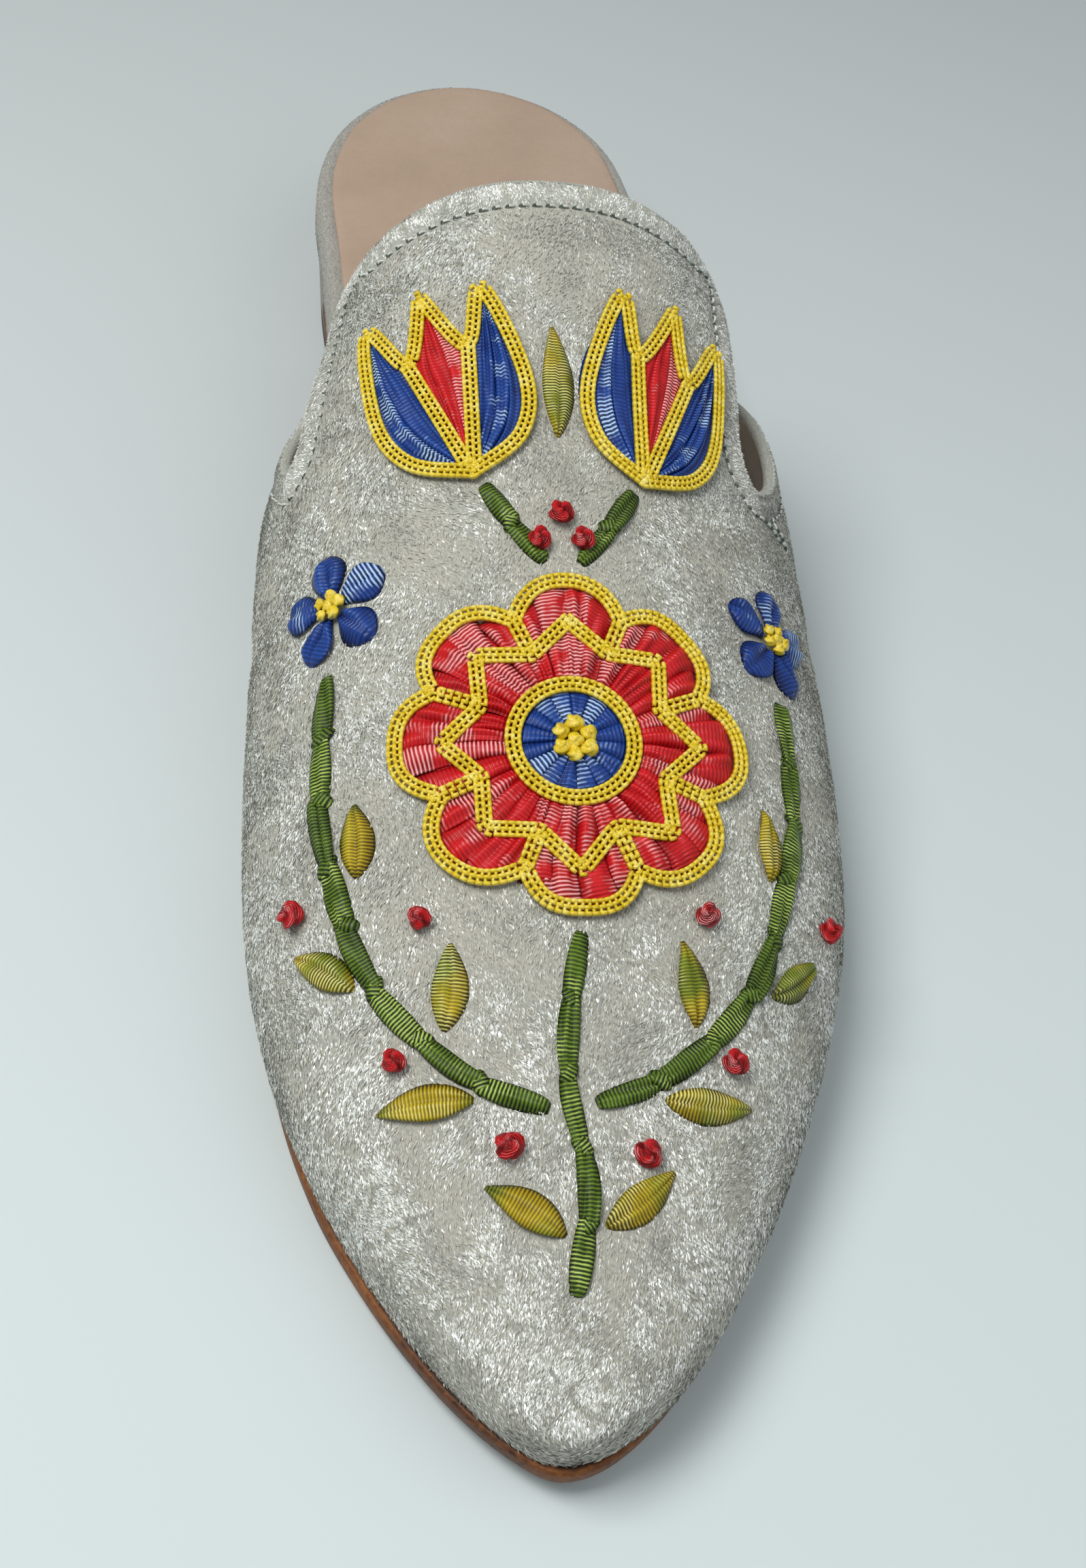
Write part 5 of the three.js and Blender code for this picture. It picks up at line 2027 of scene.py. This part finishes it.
@dataclass
class Upper:
    """Velvet upper with a turned, stitched edge, its lining and its standing pile."""

    bench: Bench
    motifs: Sequence[Motif]
    wall: float = 1.8
    wing_end: float = 189.0
    inner_notch: float = 146.0
    outer_notch: float = 141.0
    notch_radius: float = 5.0
    inner_foot: float = -31.6
    outer_foot: float = 37.8
    inner_throat: float = -25.4
    outer_throat: float = 38.0
    throat: float = 180.2
    throat_rise: float = 0.6
    corner_radius: float = 4.2
    hem: float = 4.2
    # Painted sheen level of the hem band.
    hem_light: float = 0.6
    hem_cover: float = 1.7
    hem_strand: float = 0.68
    hem_start: float = 120.0
    hem_floor: float = 30.0
    stitch_spacing: float = 2.1
    strands: int = 92000
    inner_wing: tuple[tuple[float, float], ...] = (
        (138, 44.6), (142, 41), (146, 37.6), (152, 33.8), (160, 30.4), (172, 27.8), (190, 25.2),
    )
    outer_wing: tuple[tuple[float, float], ...] = (
        (138, 44.6), (142, 40.4), (146, 37.4), (150, 35.9), (157, 35), (165, 33.8), (173, 31.2),
        (181, 28), (190, 25.2),
    )
    creases: tuple[tuple[float, float, float, float, float], ...] = (
        (-30.0, 128.0, 16.0, 3.2, 0.55), (43.0, 126.0, 15.0, 3.0, 0.5), (-24.0, 152.0, 12.0, 2.6, 0.4),
        (30.0, 150.0, 13.0, 2.8, 0.45),
    )

    @staticmethod
    def corner(centre: tuple[float, float], radius: float, start: float, end: float) -> Grid:
        """Points of a quarter round in plan."""
        turn = np.linspace(start, end, 9)
        return np.stack([centre[0] + radius * np.cos(turn), centre[1] + radius * np.sin(turn)], axis=1)

    def tongue(self) -> Grid:
        """Plan of what is kept above the wings.

        Returns:
            Outline of the forefoot, and of the tongue behind the notches.
        """
        wide, notch, round_ = 90.0, self.notch_radius, self.corner_radius
        left, right = self.inner_throat + round_, self.outer_throat - round_
        share = np.linspace(0.0, 1.0, 15)[1:-1]
        swell = self.throat + 4 * self.throat_rise * share * (1 - share)
        outer_notch = (self.outer_foot + notch, self.outer_notch + notch)
        inner_notch = (self.inner_foot - notch, self.inner_notch + notch)
        return np.concatenate(
            [
                [(-wide, -wide), (wide, -wide), (wide, self.outer_notch)],
                self.corner(outer_notch, notch, 1.5 * math.pi, math.pi),
                self.corner((right, self.throat - round_), round_, 0.0, math.pi / 2),
                np.stack([right + (left - right) * share, swell], axis=1),
                self.corner((left, self.throat - round_), round_, math.pi / 2, math.pi),
                self.corner(inner_notch, notch, 0.0, -math.pi / 2), [(-wide, self.inner_notch)],
            ]
        )

    def kept(self, points: Grid) -> Grid:
        """How far points lie inside the upper's cut edge.

        Args:
            points: Points of the surface.

        Returns:
            Depth of each point; negative where it is cut away.
        """
        plan = depth_inside(points[:, :2], self.tongue())
        sides = []
        for wing in (self.inner_wing, self.outer_wing):
            line = Curve(*np.array(wing).T)
            slope = line(points[:, 1] + 0.5) - line(points[:, 1] - 0.5)
            sides.append((line(points[:, 1]) - points[:, 2]) / np.sqrt(1 + slope**2))
        below = np.where(points[:, 0] < 0.0, *sides)
        return np.maximum(plan, np.minimum(below, self.wing_end - points[:, 1]))

    @staticmethod
    def per_step(value: Grid, points: Grid) -> Grid:
        """How fast a value changes for each millimetre over a grid of points.

        Args:
            value: The value at each point.
            points: The grid of points.

        Returns:
            Its slope at each point.
        """
        down, round_ = np.gradient(points, axis=0), np.gradient(points, axis=1)
        value_down, value_round = np.gradient(value, axis=0), np.gradient(value, axis=1)
        g11, g22, g12 = (down**2).sum(-1), (round_**2).sum(-1), (down * round_).sum(-1)
        area = np.maximum(g11 * g22 - g12**2, 1e-9)
        square = (g22 * value_down**2 - 2 * g12 * value_down * value_round + g11 * value_round**2) / area
        return np.sqrt(np.maximum(square, 1e-6))

    def combing(self, points: Grid, ways: Grid) -> tuple[Grid, Grid]:
        """Lays the crushed pile.

        Args:
            points: Points of the surface.
            ways: Their outward ways.

        Returns:
            Way that the pile lies, and how light each patch is: random crushed patches, painted sheen on the
            flanks and toe, and painted shade on the toe's front wall.
        """
        lie, light = np.empty(len(points)), np.empty(len(points))
        for k, spot in enumerate(points):
            place = Vector(spot)
            lie[k] = noise.noise(place / 14.0) * 0.9 + noise.noise(place / 4.5) * 0.6
            light[k] = 1.3 * noise.noise(place / 11.0 + Vector((31, 7, 5))) + 0.8 * noise.noise(place / 4.2)
        forward = np.array((0.0, -1.0, 0.0)) - ways * (ways @ np.array((0.0, -1.0, 0.0)))[:, None]
        forward = unit(forward + 1e-6)
        side = np.cross(ways, forward)
        comb = forward * np.cos(lie)[:, None] + side * np.sin(lie)[:, None]
        # Painted sheen: more glinting strands on the flanks, where the surface tilts away from up, and on the
        # toe.
        painted_flank_sheen = smoothstep(1 - ways[:, 2], 0.03, 0.28)
        toe = 1 - smoothstep(points[:, 1], 18.0, 42.0)
        # Painted shade: few glinting strands on the toe's steep front wall.
        wall = (1 - smoothstep(ways[:, 2], 0.52, 0.7)) * (1 - smoothstep(points[:, 1], 14.0, 34.0))
        return comb, np.clip(0.12 + 0.47 * painted_flank_sheen + 0.13 * toe + 0.84 * light, 0.03, 1.0) * (1 - 0.92 * wall)

    def edgeward(self, points: Grid, ways: Grid) -> Grid:
        """Way over the surface from each point towards the cut edge.

        Args:
            points: Points of the surface.
            ways: Their outward ways.

        Returns:
            Unit vectors.
        """
        steps = np.eye(3) * 0.4
        pull = np.stack([self.kept(points + step) - self.kept(points - step) for step in steps], axis=1)
        pull = pull - ways * (pull * ways).sum(axis=1)[:, None]
        return -unit(pull + 1e-9)

    def relief(self, points: Grid, inside: Grid) -> Grid:
        """How far the velvet swells or sinks: a rolled hem with its seam, and soft creases.

        Args:
            points: Points of the plain surface.
            inside: How far each of them lies inside the cut edge.

        Returns:
            Height of the relief at each point.
        """
        roll = 0.3 * np.exp(-(((inside - 1.6) / 1.3) ** 2))
        seam = 0.4 * np.exp(-(((inside - self.hem) / 0.75) ** 2))
        relief = np.where(inside < 12, roll - seam, 0.0)
        for across, place, length, width, depth in self.creases:
            reach = ((points[:, 0] - across) / length) ** 2 + ((points[:, 1] - place) / width) ** 2
            relief = relief - depth * np.exp(-reach)
        return relief

    def build(self) -> None:
        """Makes the upper, its stitched hem and its pile."""
        last = self.bench.last
        even, sliver = 126.0, 0.04
        toe = last.start + (even - last.start) * np.linspace(0.0, 1.0, 84) ** 1.7
        along = np.concatenate([toe, np.arange(even + 1, self.wing_end + 2, 0.85)])
        stations, girths = np.meshgrid(last.station(along), np.linspace(0.0, 1.0, 161), indexing="ij")
        base, ways = last.point(stations, girths), last.normal(stations, girths)
        shape = base.shape[:2]
        flat, out = base.reshape(-1, 3), ways.reshape(-1, 3)
        keep = self.kept(flat)
        inside = keep / np.clip(self.per_step(keep.reshape(shape), base), 0.25, 2.0).ravel()
        covered = np.any([motif.hides(flat) for motif in self.motifs], axis=0)
        run = np.linalg.norm(np.diff(base, axis=1, prepend=base[:, :1]), axis=-1).cumsum(axis=1).ravel()
        comb, light = self.combing(flat, out)
        band = inside < self.hem
        # Painted sheen along the rolled hem: the band gets more glinting strands.
        light = np.where(band, self.hem_light + 0.25 * light, light)
        comb = np.where(band[:, None], unit(self.edgeward(flat, out) + 0.7 * comb), comb)
        pile = np.where(covered, 0.0, 1.0 - np.exp(-(((inside - self.hem) / 0.95) ** 2)))
        pile = pile * np.where(band, self.hem_cover, 1.0)
        size = np.where(band, self.hem_strand, 1.0)
        outer = flat + out * self.relief(flat, inside)[:, None]
        inner = flat - out * self.wall
        rows = np.column_stack([outer, inner, out, comb, flat[:, 1], run, pile, light, size])
        quads = grid_faces(*shape)
        cut = trim(rows, quads, np.where(np.abs(keep) < sliver, sliver, keep))
        self.make_shell(cut, shape)
        self.sew_hem(rows, quads, inside)

    def rim(self, cut: Cut) -> Grid:
        """Rounded edge along the cut, ring by ring from outside to inside.

        Args:
            cut: The trimmed surface.

        Returns:
            Points by ring and place.
        """
        outer, inner = cut.rows[cut.line, Column.OUTER], cut.rows[cut.line, Column.INNER]
        way = unit(cut.rows[cut.line, Column.OUT])
        tangent = unit(np.gradient(outer, axis=0))
        for _ in range(3):
            tangent[1:-1] = unit(tangent[:-2] + 2 * tangent[1:-1] + tangent[2:])
        away = unit(np.cross(tangent, way))
        if ((outer - cut.rows[cut.beside, Column.OUTER]) * away).sum() < 0:
            away = -away
        radius = np.linalg.norm(outer - inner, axis=1)[:, None] / 2
        facing = np.array([math.cos(t) * way + math.sin(t) * away for t in np.linspace(0.0, math.pi, 8)])
        return (outer + inner) / 2 + radius * facing

    def make_shell(self, cut: Cut, shape: tuple[int, int]) -> None:
        """Makes the wall of the upper and the pile that stands on it.

        Args:
            cut: The trimmed surface.
            shape: Rows and columns of the grid before it was cut.
        """
        rows, size = cut.rows, len(cut.rows)
        rings = self.rim(cut)
        steps, places = rings.shape[:2]
        edge = rings[1:-1].reshape(-1, 3)
        number = np.empty((steps, places), int)
        number[0] = cut.line
        number[-1] = np.array(cut.line) + size
        number[1:-1] = 2 * size + np.arange(len(edge)).reshape(steps - 2, places)
        rim = number.ravel()[np.array(grid_faces(steps, places))]
        velvet = [tuple(face) for face in cut.faces] + [tuple(face) for face in rim]
        lining = self.lining_faces(cut, shape) + [tuple(number[:, 0]), tuple(number[:, -1])]
        points = np.concatenate([rows[:, Column.OUTER], rows[:, Column.INNER], edge])
        cloth = self.around(cut, Column.CLOTH, steps)
        light = np.concatenate([rows[:, Column.LIGHT], np.zeros(size), np.full(len(edge), 0.7)])
        whole = Draft()
        whole.add(points, velvet, cloth, light=light)
        whole.faces += lining
        whole.slots += [1] * len(lining)
        shell = whole.piece("upper_shell", [self.bench.finish.velvet, self.bench.finish.lining])
        self.bench.keep(shell, Slot.VELVET, "upper")
        thinning = np.repeat((1.5, 1.2, 0.8, 0.4, 0.1, 0.0), places)
        pile = np.concatenate([rows[:, Column.PILE], np.zeros(size), thinning])
        length = np.concatenate([rows[:, Column.SIZE], np.ones(size), np.full(len(edge), 0.55)])
        comb = self.around(cut, Column.COMB, steps)
        ground = Draft()
        ground.add(points, velvet, cloth, pile=pile, light=light, pile_way=comb, pile_size=length)
        self.raise_pile(ground)

    @staticmethod
    def around(cut: Cut, which: slice, steps: int) -> Grid:
        """Values of the outer face, of the inner one and of the rim's rings between them."""
        values = cut.rows[:, which]
        return np.concatenate([values, values, np.tile(values[cut.line], (steps - 2, 1))])

    @staticmethod
    def lining_faces(cut: Cut, shape: tuple[int, int]) -> list[Face]:
        """Inner face of the wall, and the strips that close it along its two feet.

        Args:
            cut: The trimmed surface.
            shape: Rows and columns of the grid before it was cut.

        Returns:
            The faces; a point's number on the inner face is past all those of the outer face.
        """
        rows, size = cut.rows, len(cut.rows)
        faces: list[Face] = [tuple(corner + size for corner in reversed(face)) for face in cut.faces]
        used = {corner for face in cut.faces for corner in face}
        ends = (cut.line[0], cut.line[-1])
        for side in (0, shape[1] - 1):
            foot = [row * shape[1] + side for row in range(shape[0]) if row * shape[1] + side in used]
            gaps = [np.linalg.norm(rows[end, Column.OUTER] - rows[foot[-1], Column.OUTER]) for end in ends]
            foot.append(ends[int(np.argmin(gaps))])
            faces += [(a, b, b + size, a + size) for a, b in zip(foot, foot[1:])]
        return faces

    def raise_pile(self, ground: Draft) -> None:
        """Stands four tones of strands on the velvet.

        Args:
            ground: The velvet, with its pile's cover and light.
        """
        pile, light = np.concatenate(ground.values["pile"]), np.concatenate(ground.values["light"])
        spots, shift = np.concatenate(ground.points), Vector((3, 41, 17))
        dull = np.array([noise.noise(Vector(spot) / 6.5 + shift) for spot in spots])
        dark = np.clip(0.3 * light + 1.1 * dull, 0.0, 1.0)
        finish, many = self.bench.finish, self.strands
        # The silver and near-white strands follow light, with its painted sheen; the near-white ones are
        # painted glints. The deep ones follow random dull patches and a little of light.
        silver = PileTone("pile_silver", finish.pile_silver, many, 6, clump=0.38, size=0.86)
        bright = PileTone("pile_bright", finish.pile_bright, many * 4 // 3, 3, clump=0.45, size=0.88)
        PileTone("pile_mid", finish.pile_mid, many, 4).build(self.bench, ground, pile * (0.75 + 0.25 * light))
        PileTone("pile_deep", finish.pile_deep, many // 2, 5).build(self.bench, ground, pile * dark)
        silver.build(self.bench, ground, pile * (0.05 + light))
        bright.build(self.bench, ground, pile * light**1.3)

    def sew_hem(self, rows: Grid, quads: Sequence[Face], inside: Grid) -> None:
        """Sews the turned edge with a row of stitches in two threads.

        Args:
            rows: Everything known at each grid point.
            quads: Faces of the grid.
            inside: How far each point lies inside the cut edge.
        """
        seam = trim(rows, quads, inside - self.hem)
        points, ways = seam.rows[seam.line, Column.OUTER], unit(seam.rows[seam.line, Column.OUT])
        shown = (points[:, 1] > self.hem_start) & (points[:, 2] > self.hem_floor)
        line = evenly(np.concatenate([points + ways * 0.12, ways], axis=1)[shown], 0.3)
        shop, green, pale = self.bench.shop, self.bench.finish.thread, self.bench.finish.pale_thread
        for name, finish, start, reach in (("hem_stitches", green, 0, 0.42), ("hem_loops", pale, 3, 0.72)):
            host = shop.path(name, [(line[start:, :3], line[start:, 3:])])
            spacing = self.stitch_spacing * MM
            thing = shop.grow(host, shop.row, shop.stitch(reach), finish, Spacing=spacing)
            self.bench.keep(thing, Slot.VELVET)


class Ring(NamedTuple):
    """One ring of a plate under the foot: its inset, and its height over one of the sole's levels."""

    inset: float
    level: Callable[[Grid], Grid]
    offset: float = 0.0


@dataclass
class Bottom:
    """Sole, heel, lift, velvet-wrapped board and leather sock."""

    bench: Bench
    lift_thickness: float = 4.0
    heel_taper: float = 1.4
    breast_hollow: float = 2.2
    front_inset: float = 4.0
    rim_roll: float = 1.8
    sock_front: float = 4.8
    sock_rim: float = 2.8
    sock_thickness: float = 1.0

    def plate(
        self, ends: tuple[float, float], drawn_in: Callable[[Grid], Grid], loops: Sequence[Ring],
        dish: float = 0.0,
    ) -> Draft:
        """Closed plate that follows the sole's outline.

        Args:
            ends: First and last place along the shoe.
            drawn_in: How far the whole plate is drawn in at places along the shoe.
            loops: Its rings, from the underside's to the top's.
            dish: How far the top sinks in its middle.

        Returns:
            The plate; its first patch holds the rings.
        """
        sole = self.bench.sole
        blend = 14.0
        turns = np.linspace(float(sole.turn(ends[0])), float(sole.turn(ends[1])), 150)
        along = sole.along(turns)
        rings = []
        for ring in loops:
            inner, outer = (sole.edge(side, turns, drawn_in(along) + ring.inset) for side in (-1, 1))
            loop = np.concatenate([inner, outer[::-1]])
            rings.append(np.column_stack([loop, ring.level(loop[:, 1]) + ring.offset]))
        count = len(turns)
        draft = Draft()
        points = np.concatenate(rings)
        # edge marks the top ring and the top face; the sole finish darkens them.
        edge = np.repeat(np.arange(len(rings)) == len(rings) - 1, 2 * count).astype(float)
        draft.add(points, grid_faces(len(rings), 2 * count, closed=True), points[:, [1, 0]], edge=edge)
        across = np.linspace(0.0, 1.0, 13)
        fade = smoothstep(along, ends[0] + 0.5, ends[0] + blend)
        fade = fade * (1 - smoothstep(along, ends[1] - blend, ends[1] - 0.5))
        for loop, sink in ((rings[0], 0.0), (rings[-1], dish)):
            inner, outer = loop[:count], loop[count:][::-1]
            sheet = inner[:, None] + (outer - inner)[:, None] * across[None, :, None]
            sheet[..., 2] -= sink * fade[:, None] * np.sin(math.pi * across)[None] ** 2
            flat = sheet.reshape(-1, 3)
            draft.add(flat, grid_faces(count, len(across)), flat[:, [1, 0]], edge=float(loop is rings[-1]))
        return draft

    def build(self) -> None:
        """Makes every piece under the foot."""
        sole, finish, lift = self.bench.sole, self.bench.finish, self.lift_thickness
        outsole = self.plate(
            (0.02, sole.breast - PIECE_GAP),
            np.zeros_like,
            [
                Ring(1.1, sole.bottom), Ring(0.35, sole.bottom, 0.18), Ring(0.0, sole.bottom, 0.7),
                Ring(0.0, sole.top, -0.6), Ring(0.2, sole.top, -0.12), Ring(0.5, sole.top),
                Ring(1.3, sole.top),
            ],
        )
        self.bench.keep(outsole.piece("outsole_leather", [finish.sole]), Slot.SOLE, "outsole")
        self.make_board()
        seat, low = sole.seat_height, lift + PIECE_GAP
        heel_rings = [(low, 0.35), (low + 0.3, 0.0), (9.0, 0.0), (14.0, 0.0), (seat - 0.3, 0.0), (seat, 0.25)]
        self.bench.keep(self.block("heel_block", heel_rings, finish.heel), Slot.HEEL, "heel")
        lift_rings = [(0.0, 0.35), (0.35, 0.0), (lift - 0.3, 0.0), (lift, 0.25)]
        self.bench.keep(self.block("heel_lift_rubber", lift_rings, finish.rubber), Slot.LIFT, "heel_lift")

    def board_inset(self, along: Grid) -> Grid:
        """How far the foot board is drawn in: it stands clear of the upper as far as the wings' ends."""
        step = self.bench.sole.wing_end + PIECE_GAP
        return self.front_inset * (1 - smoothstep(along, step, step + 0.8))

    def sock_inset(self, along: Grid) -> Grid:
        """How far the sock is drawn in."""
        end = self.bench.sole.wing_end
        return self.sock_front + (self.sock_rim - self.sock_front) * smoothstep(along, end - 4.8, end + 4.8)

    def make_board(self) -> None:
        """Makes the foot board with its velvet rim, and the sock on it."""
        sole, finish, roll = self.bench.sole, self.bench.finish, self.rim_roll
        rings = [Ring(0.4, sole.top, PIECE_GAP), Ring(0.0, sole.top, PIECE_GAP + 0.5)]
        for turn in np.linspace(0, math.pi / 2, 7):
            rings.append(Ring(roll * (1 - math.cos(turn)), sole.board_top, roll * (math.sin(turn) - 1)))
        rings.append(Ring(3.4, sole.board_top))
        back = SHOE_LENGTH - 0.02
        rim = self.plate((5.2, back), self.board_inset, rings)
        self.bench.keep(rim.piece("insole_velvet", [finish.rim_velvet]), Slot.VELVET, "insole")
        self.cover_rim(rim.points[0], len(rings))
        top = PIECE_GAP + self.sock_thickness
        steps = (
            (0.2, PIECE_GAP), (0.0, PIECE_GAP + 0.3), (0.0, top - 0.45), (0.15, top - 0.15), (0.5, top),
            (1.6, top),
        )
        sock_rings = [Ring(inset, sole.board_top, offset) for inset, offset in steps]
        sock = self.plate((7.2, back), self.sock_inset, sock_rings, dish=0.25)
        self.bench.keep(sock.piece("sock_leather", [finish.sock]), Slot.SOCK, "sock")

    def cover_rim(self, points: Grid, rings: int) -> None:
        """Stands short pile on the rim of the foot board.

        Args:
            points: The board's rings, one after another from its underside.
            rings: How many there are.
        """
        around = len(points) // rings
        level = np.repeat(np.arange(rings), around)
        bare = (level < 1) | (level > rings - 3)
        end = self.bench.sole.wing_end
        cover = np.where(bare, 0.0, smoothstep(points[:, 1], end - 0.4, end + 1.0))
        way = np.tile((0.0, -1.0, 0.15), (len(points), 1))
        faces = grid_faces(rings, around, closed=True)
        ground = Draft()
        ground.add(points, faces, points[:, [1, 0]], pile_way=way, pile_size=0.85)
        finish = self.bench.finish
        for tone in (
            PileTone("rim_pile_deep", finish.pile_deep, 5000, 31),
            PileTone("rim_pile_mid", finish.pile_rim, 9000, 32),
            PileTone("rim_pile_silver", finish.pile_silver, 5000, 33, clump=0.45),
        ):
            tone.build(self.bench, ground, cover)

    def block(self, name: str, levels: Sequence[tuple[float, float]], finish: Material) -> Object:
        """Makes the heel, or a slice of it, from rings.

        Args:
            name: Object name.
            levels: Height of each ring, and how far it is drawn in past the heel's own taper.
            finish: Material.

        Returns:
            The new object.
        """
        sole = self.bench.sole
        turns = np.linspace(float(sole.turn(sole.breast)), math.pi - 1e-3, 44)
        share = np.linspace(0.0, 1.0, 16)[1:-1, None]
        rings = []
        for height, extra in levels:
            below = 1 - height / sole.seat_height
            inset = 0.5 + self.heel_taper * below + extra
            inner, outer = (sole.edge(side, turns, inset) for side in (-1, 1))
            breast = outer[:1] + (inner[:1] - outer[:1]) * share
            breast[:, 1] += (self.breast_hollow * below + extra) * np.sin(share[:, 0] * math.pi)
            loop = np.concatenate([inner, outer[::-1][1:], breast])
            rings.append(np.column_stack([loop, np.full(len(loop), height)]))
        points = np.concatenate(rings)
        draft = Draft()
        draft.add(points, tube_faces(len(rings), len(rings[0])), points[:, [1, 0]])
        return draft.piece(name, [finish])


@dataclass
class Embroidery:
    """The whole ribbon design on the vamp."""

    bench: Bench
    stems: dict[str, tuple[tuple[float, float], ...]] = field(
        default_factory=lambda: {
            "stem_toe": ((1.4, 18), (3.6, 32), (1.8, 47), (4.8, 63.8)),
            "stem_inner": ((-0.8, 41.4), (-13, 47), (-24.4, 62), (-29.4, 84), (-28, 106.4)),
            "stem_outer": ((5.4, 41.4), (17, 46.4), (30, 60), (37.8, 82), (39, 103.4)),
            "stem_tulip_inner": ((3, 117), (-1.6, 123.4), (-5.8, 130)),
            "stem_tulip_outer": ((7.8, 117), (13, 123.4), (17.4, 130)),
        }
    )
    leaves: dict[str, tuple[float, float, float, float]] = field(
        default_factory=lambda: {
            "leaf_toe_inner": (0.3, 25.4, -56, 12),
            "leaf_toe_outer": (5.6, 26.4, 54, 12),
            "leaf_inner_1": (-10.6, 43, -92, 13),
            "leaf_inner_2": (-14.2, 52, 10, 12),
            "leaf_inner_3": (-25.6, 59.6, -50, 11),
            "leaf_inner_4": (-25, 74.4, 6, 11),
            "leaf_outer_1": (14.8, 42.4, 92, 13),
            "leaf_outer_2": (20, 52, -10, 12),
            "leaf_outer_3": (32, 58, 50, 11),
            "leaf_outer_4": (33.4, 74, -8, 11),
            "leaf_throat": (5.9, 137, 0, 19),
        }
    )
    berries: tuple[tuple[float, float], ...] = (
        (-6.5, 36.5), (11.5, 35.5), (-20.5, 49.0), (25.0, 48.0), (-16.5, 67.0), (22.5, 67.0),
        (-33.0, 72.0), (42.5, 70.5), (2.2, 120.5), (8.6, 120.5), (5.4, 124.5),
    )

    def motifs(self) -> list[Motif]:
        """Every piece of the design.

        Returns:
            Stems, leaves, flowers and berries.
        """
        bench = self.bench
        whole: list[Motif] = [Stem(bench, name, route) for name, route in self.stems.items()]
        whole += [Leaf(bench, name, *where) for name, where in self.leaves.items()]
        whole += [
            Rosette(bench), Tulip(bench, "tulip_inner", -6.6, 131, 0.15),
            Tulip(bench, "tulip_outer", 18.4, 131, -0.15), Daisy(bench, "daisy_inner", -27, 117),
            Daisy(bench, "daisy_outer", 38.6, 114), Berries(bench, self.berries),
        ]
        return whole


@dataclass
class Studio:
    """Pale floor, soft light and the camera at the photograph's angle."""

    bench: Bench
    eye: Spot = (-49.4, -215.2, 260.8)
    aim: Spot = (-0.7, -32.0, 17.6)
    roll: float = 11.9
    focal_pixels: float = 2960.0

    @staticmethod
    def light(name: str, place: Spot, size: float, watts: float, colour: Colour) -> None:
        """Hangs one soft square light, aimed at the shoe.

        Args:
            name: Object name.
            place: Where it hangs, in metres.
            size: Length of its sides in metres.
            watts: Its power.
            colour: Its colour.
        """
        lamp = bpy.data.lights.new(name, "AREA")
        lamp.shape = "SQUARE"
        lamp.size = size
        lamp.energy = watts
        lamp.color = colour
        thing = linked(name, lamp)
        thing.location = place
        thing.rotation_euler = (Vector((0, 0, 0.02)) - Vector(place)).to_track_quat("-Z", "Y").to_euler()

    def lay_floor(self) -> None:
        """Lays the floor, wide enough for every view."""
        reach = 2.5
        corners = [(-reach, -reach, 0), (reach, -reach, 0), (reach, reach, 0), (-reach, reach, 0)]
        mesh = bpy.data.meshes.new("floor")
        mesh.from_pydata(corners, [], [(0, 1, 2, 3)])
        mesh.materials.append(self.bench.finish.floor)
        floor = linked("floor", mesh)

    def build(self) -> None:
        """Makes the floor, the lights, the world and the camera."""
        self.lay_floor()
        self.light("key", (-0.32, -0.02, 0.68), 0.36, 4.3, (1.0, 0.99, 0.96))
        self.light("fill", (0.45, -0.25, 0.6), 0.8, 1.4, (0.95, 0.98, 1.0))
        world = bpy.data.worlds.new("studio")
        world.use_nodes = True
        sky = next(node for node in world.node_tree.nodes if node.type == "BACKGROUND")
        sky.inputs["Color"].default_value = (0.92, 0.96, 1.0, 1.0)
        sky.inputs["Strength"].default_value = 0.27
        scene = bpy.context.scene
        scene.world = world
        lens = bpy.data.cameras.new("camera")
        lens.sensor_width = 36.0
        lens.lens = self.focal_pixels / max(IMAGE_WIDTH, IMAGE_HEIGHT) * lens.sensor_width
        lens.clip_start = 0.01
        camera = linked("camera", lens)
        camera.location = Vector(self.eye) * MM
        level = (Vector(self.aim) * MM - camera.location).to_track_quat("-Z", "Y")
        camera.rotation_euler = (level @ Quaternion((0.0, 0.0, 1.0), math.radians(self.roll))).to_euler()
        scene.camera = camera
        scene.view_settings.view_transform = "Standard"


def main() -> None:
    """Loads the frame and builds every sub-assembly on it."""
    logging.basicConfig(level=logging.INFO, format="%(name)s %(message)s")
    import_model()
    bench = Bench()
    Studio(bench).build()
    motifs = Embroidery(bench).motifs()
    Upper(bench, motifs).build()
    Bottom(bench).build()
    for motif in motifs:
        motif.build()


if __name__ == "__main__":
    main()
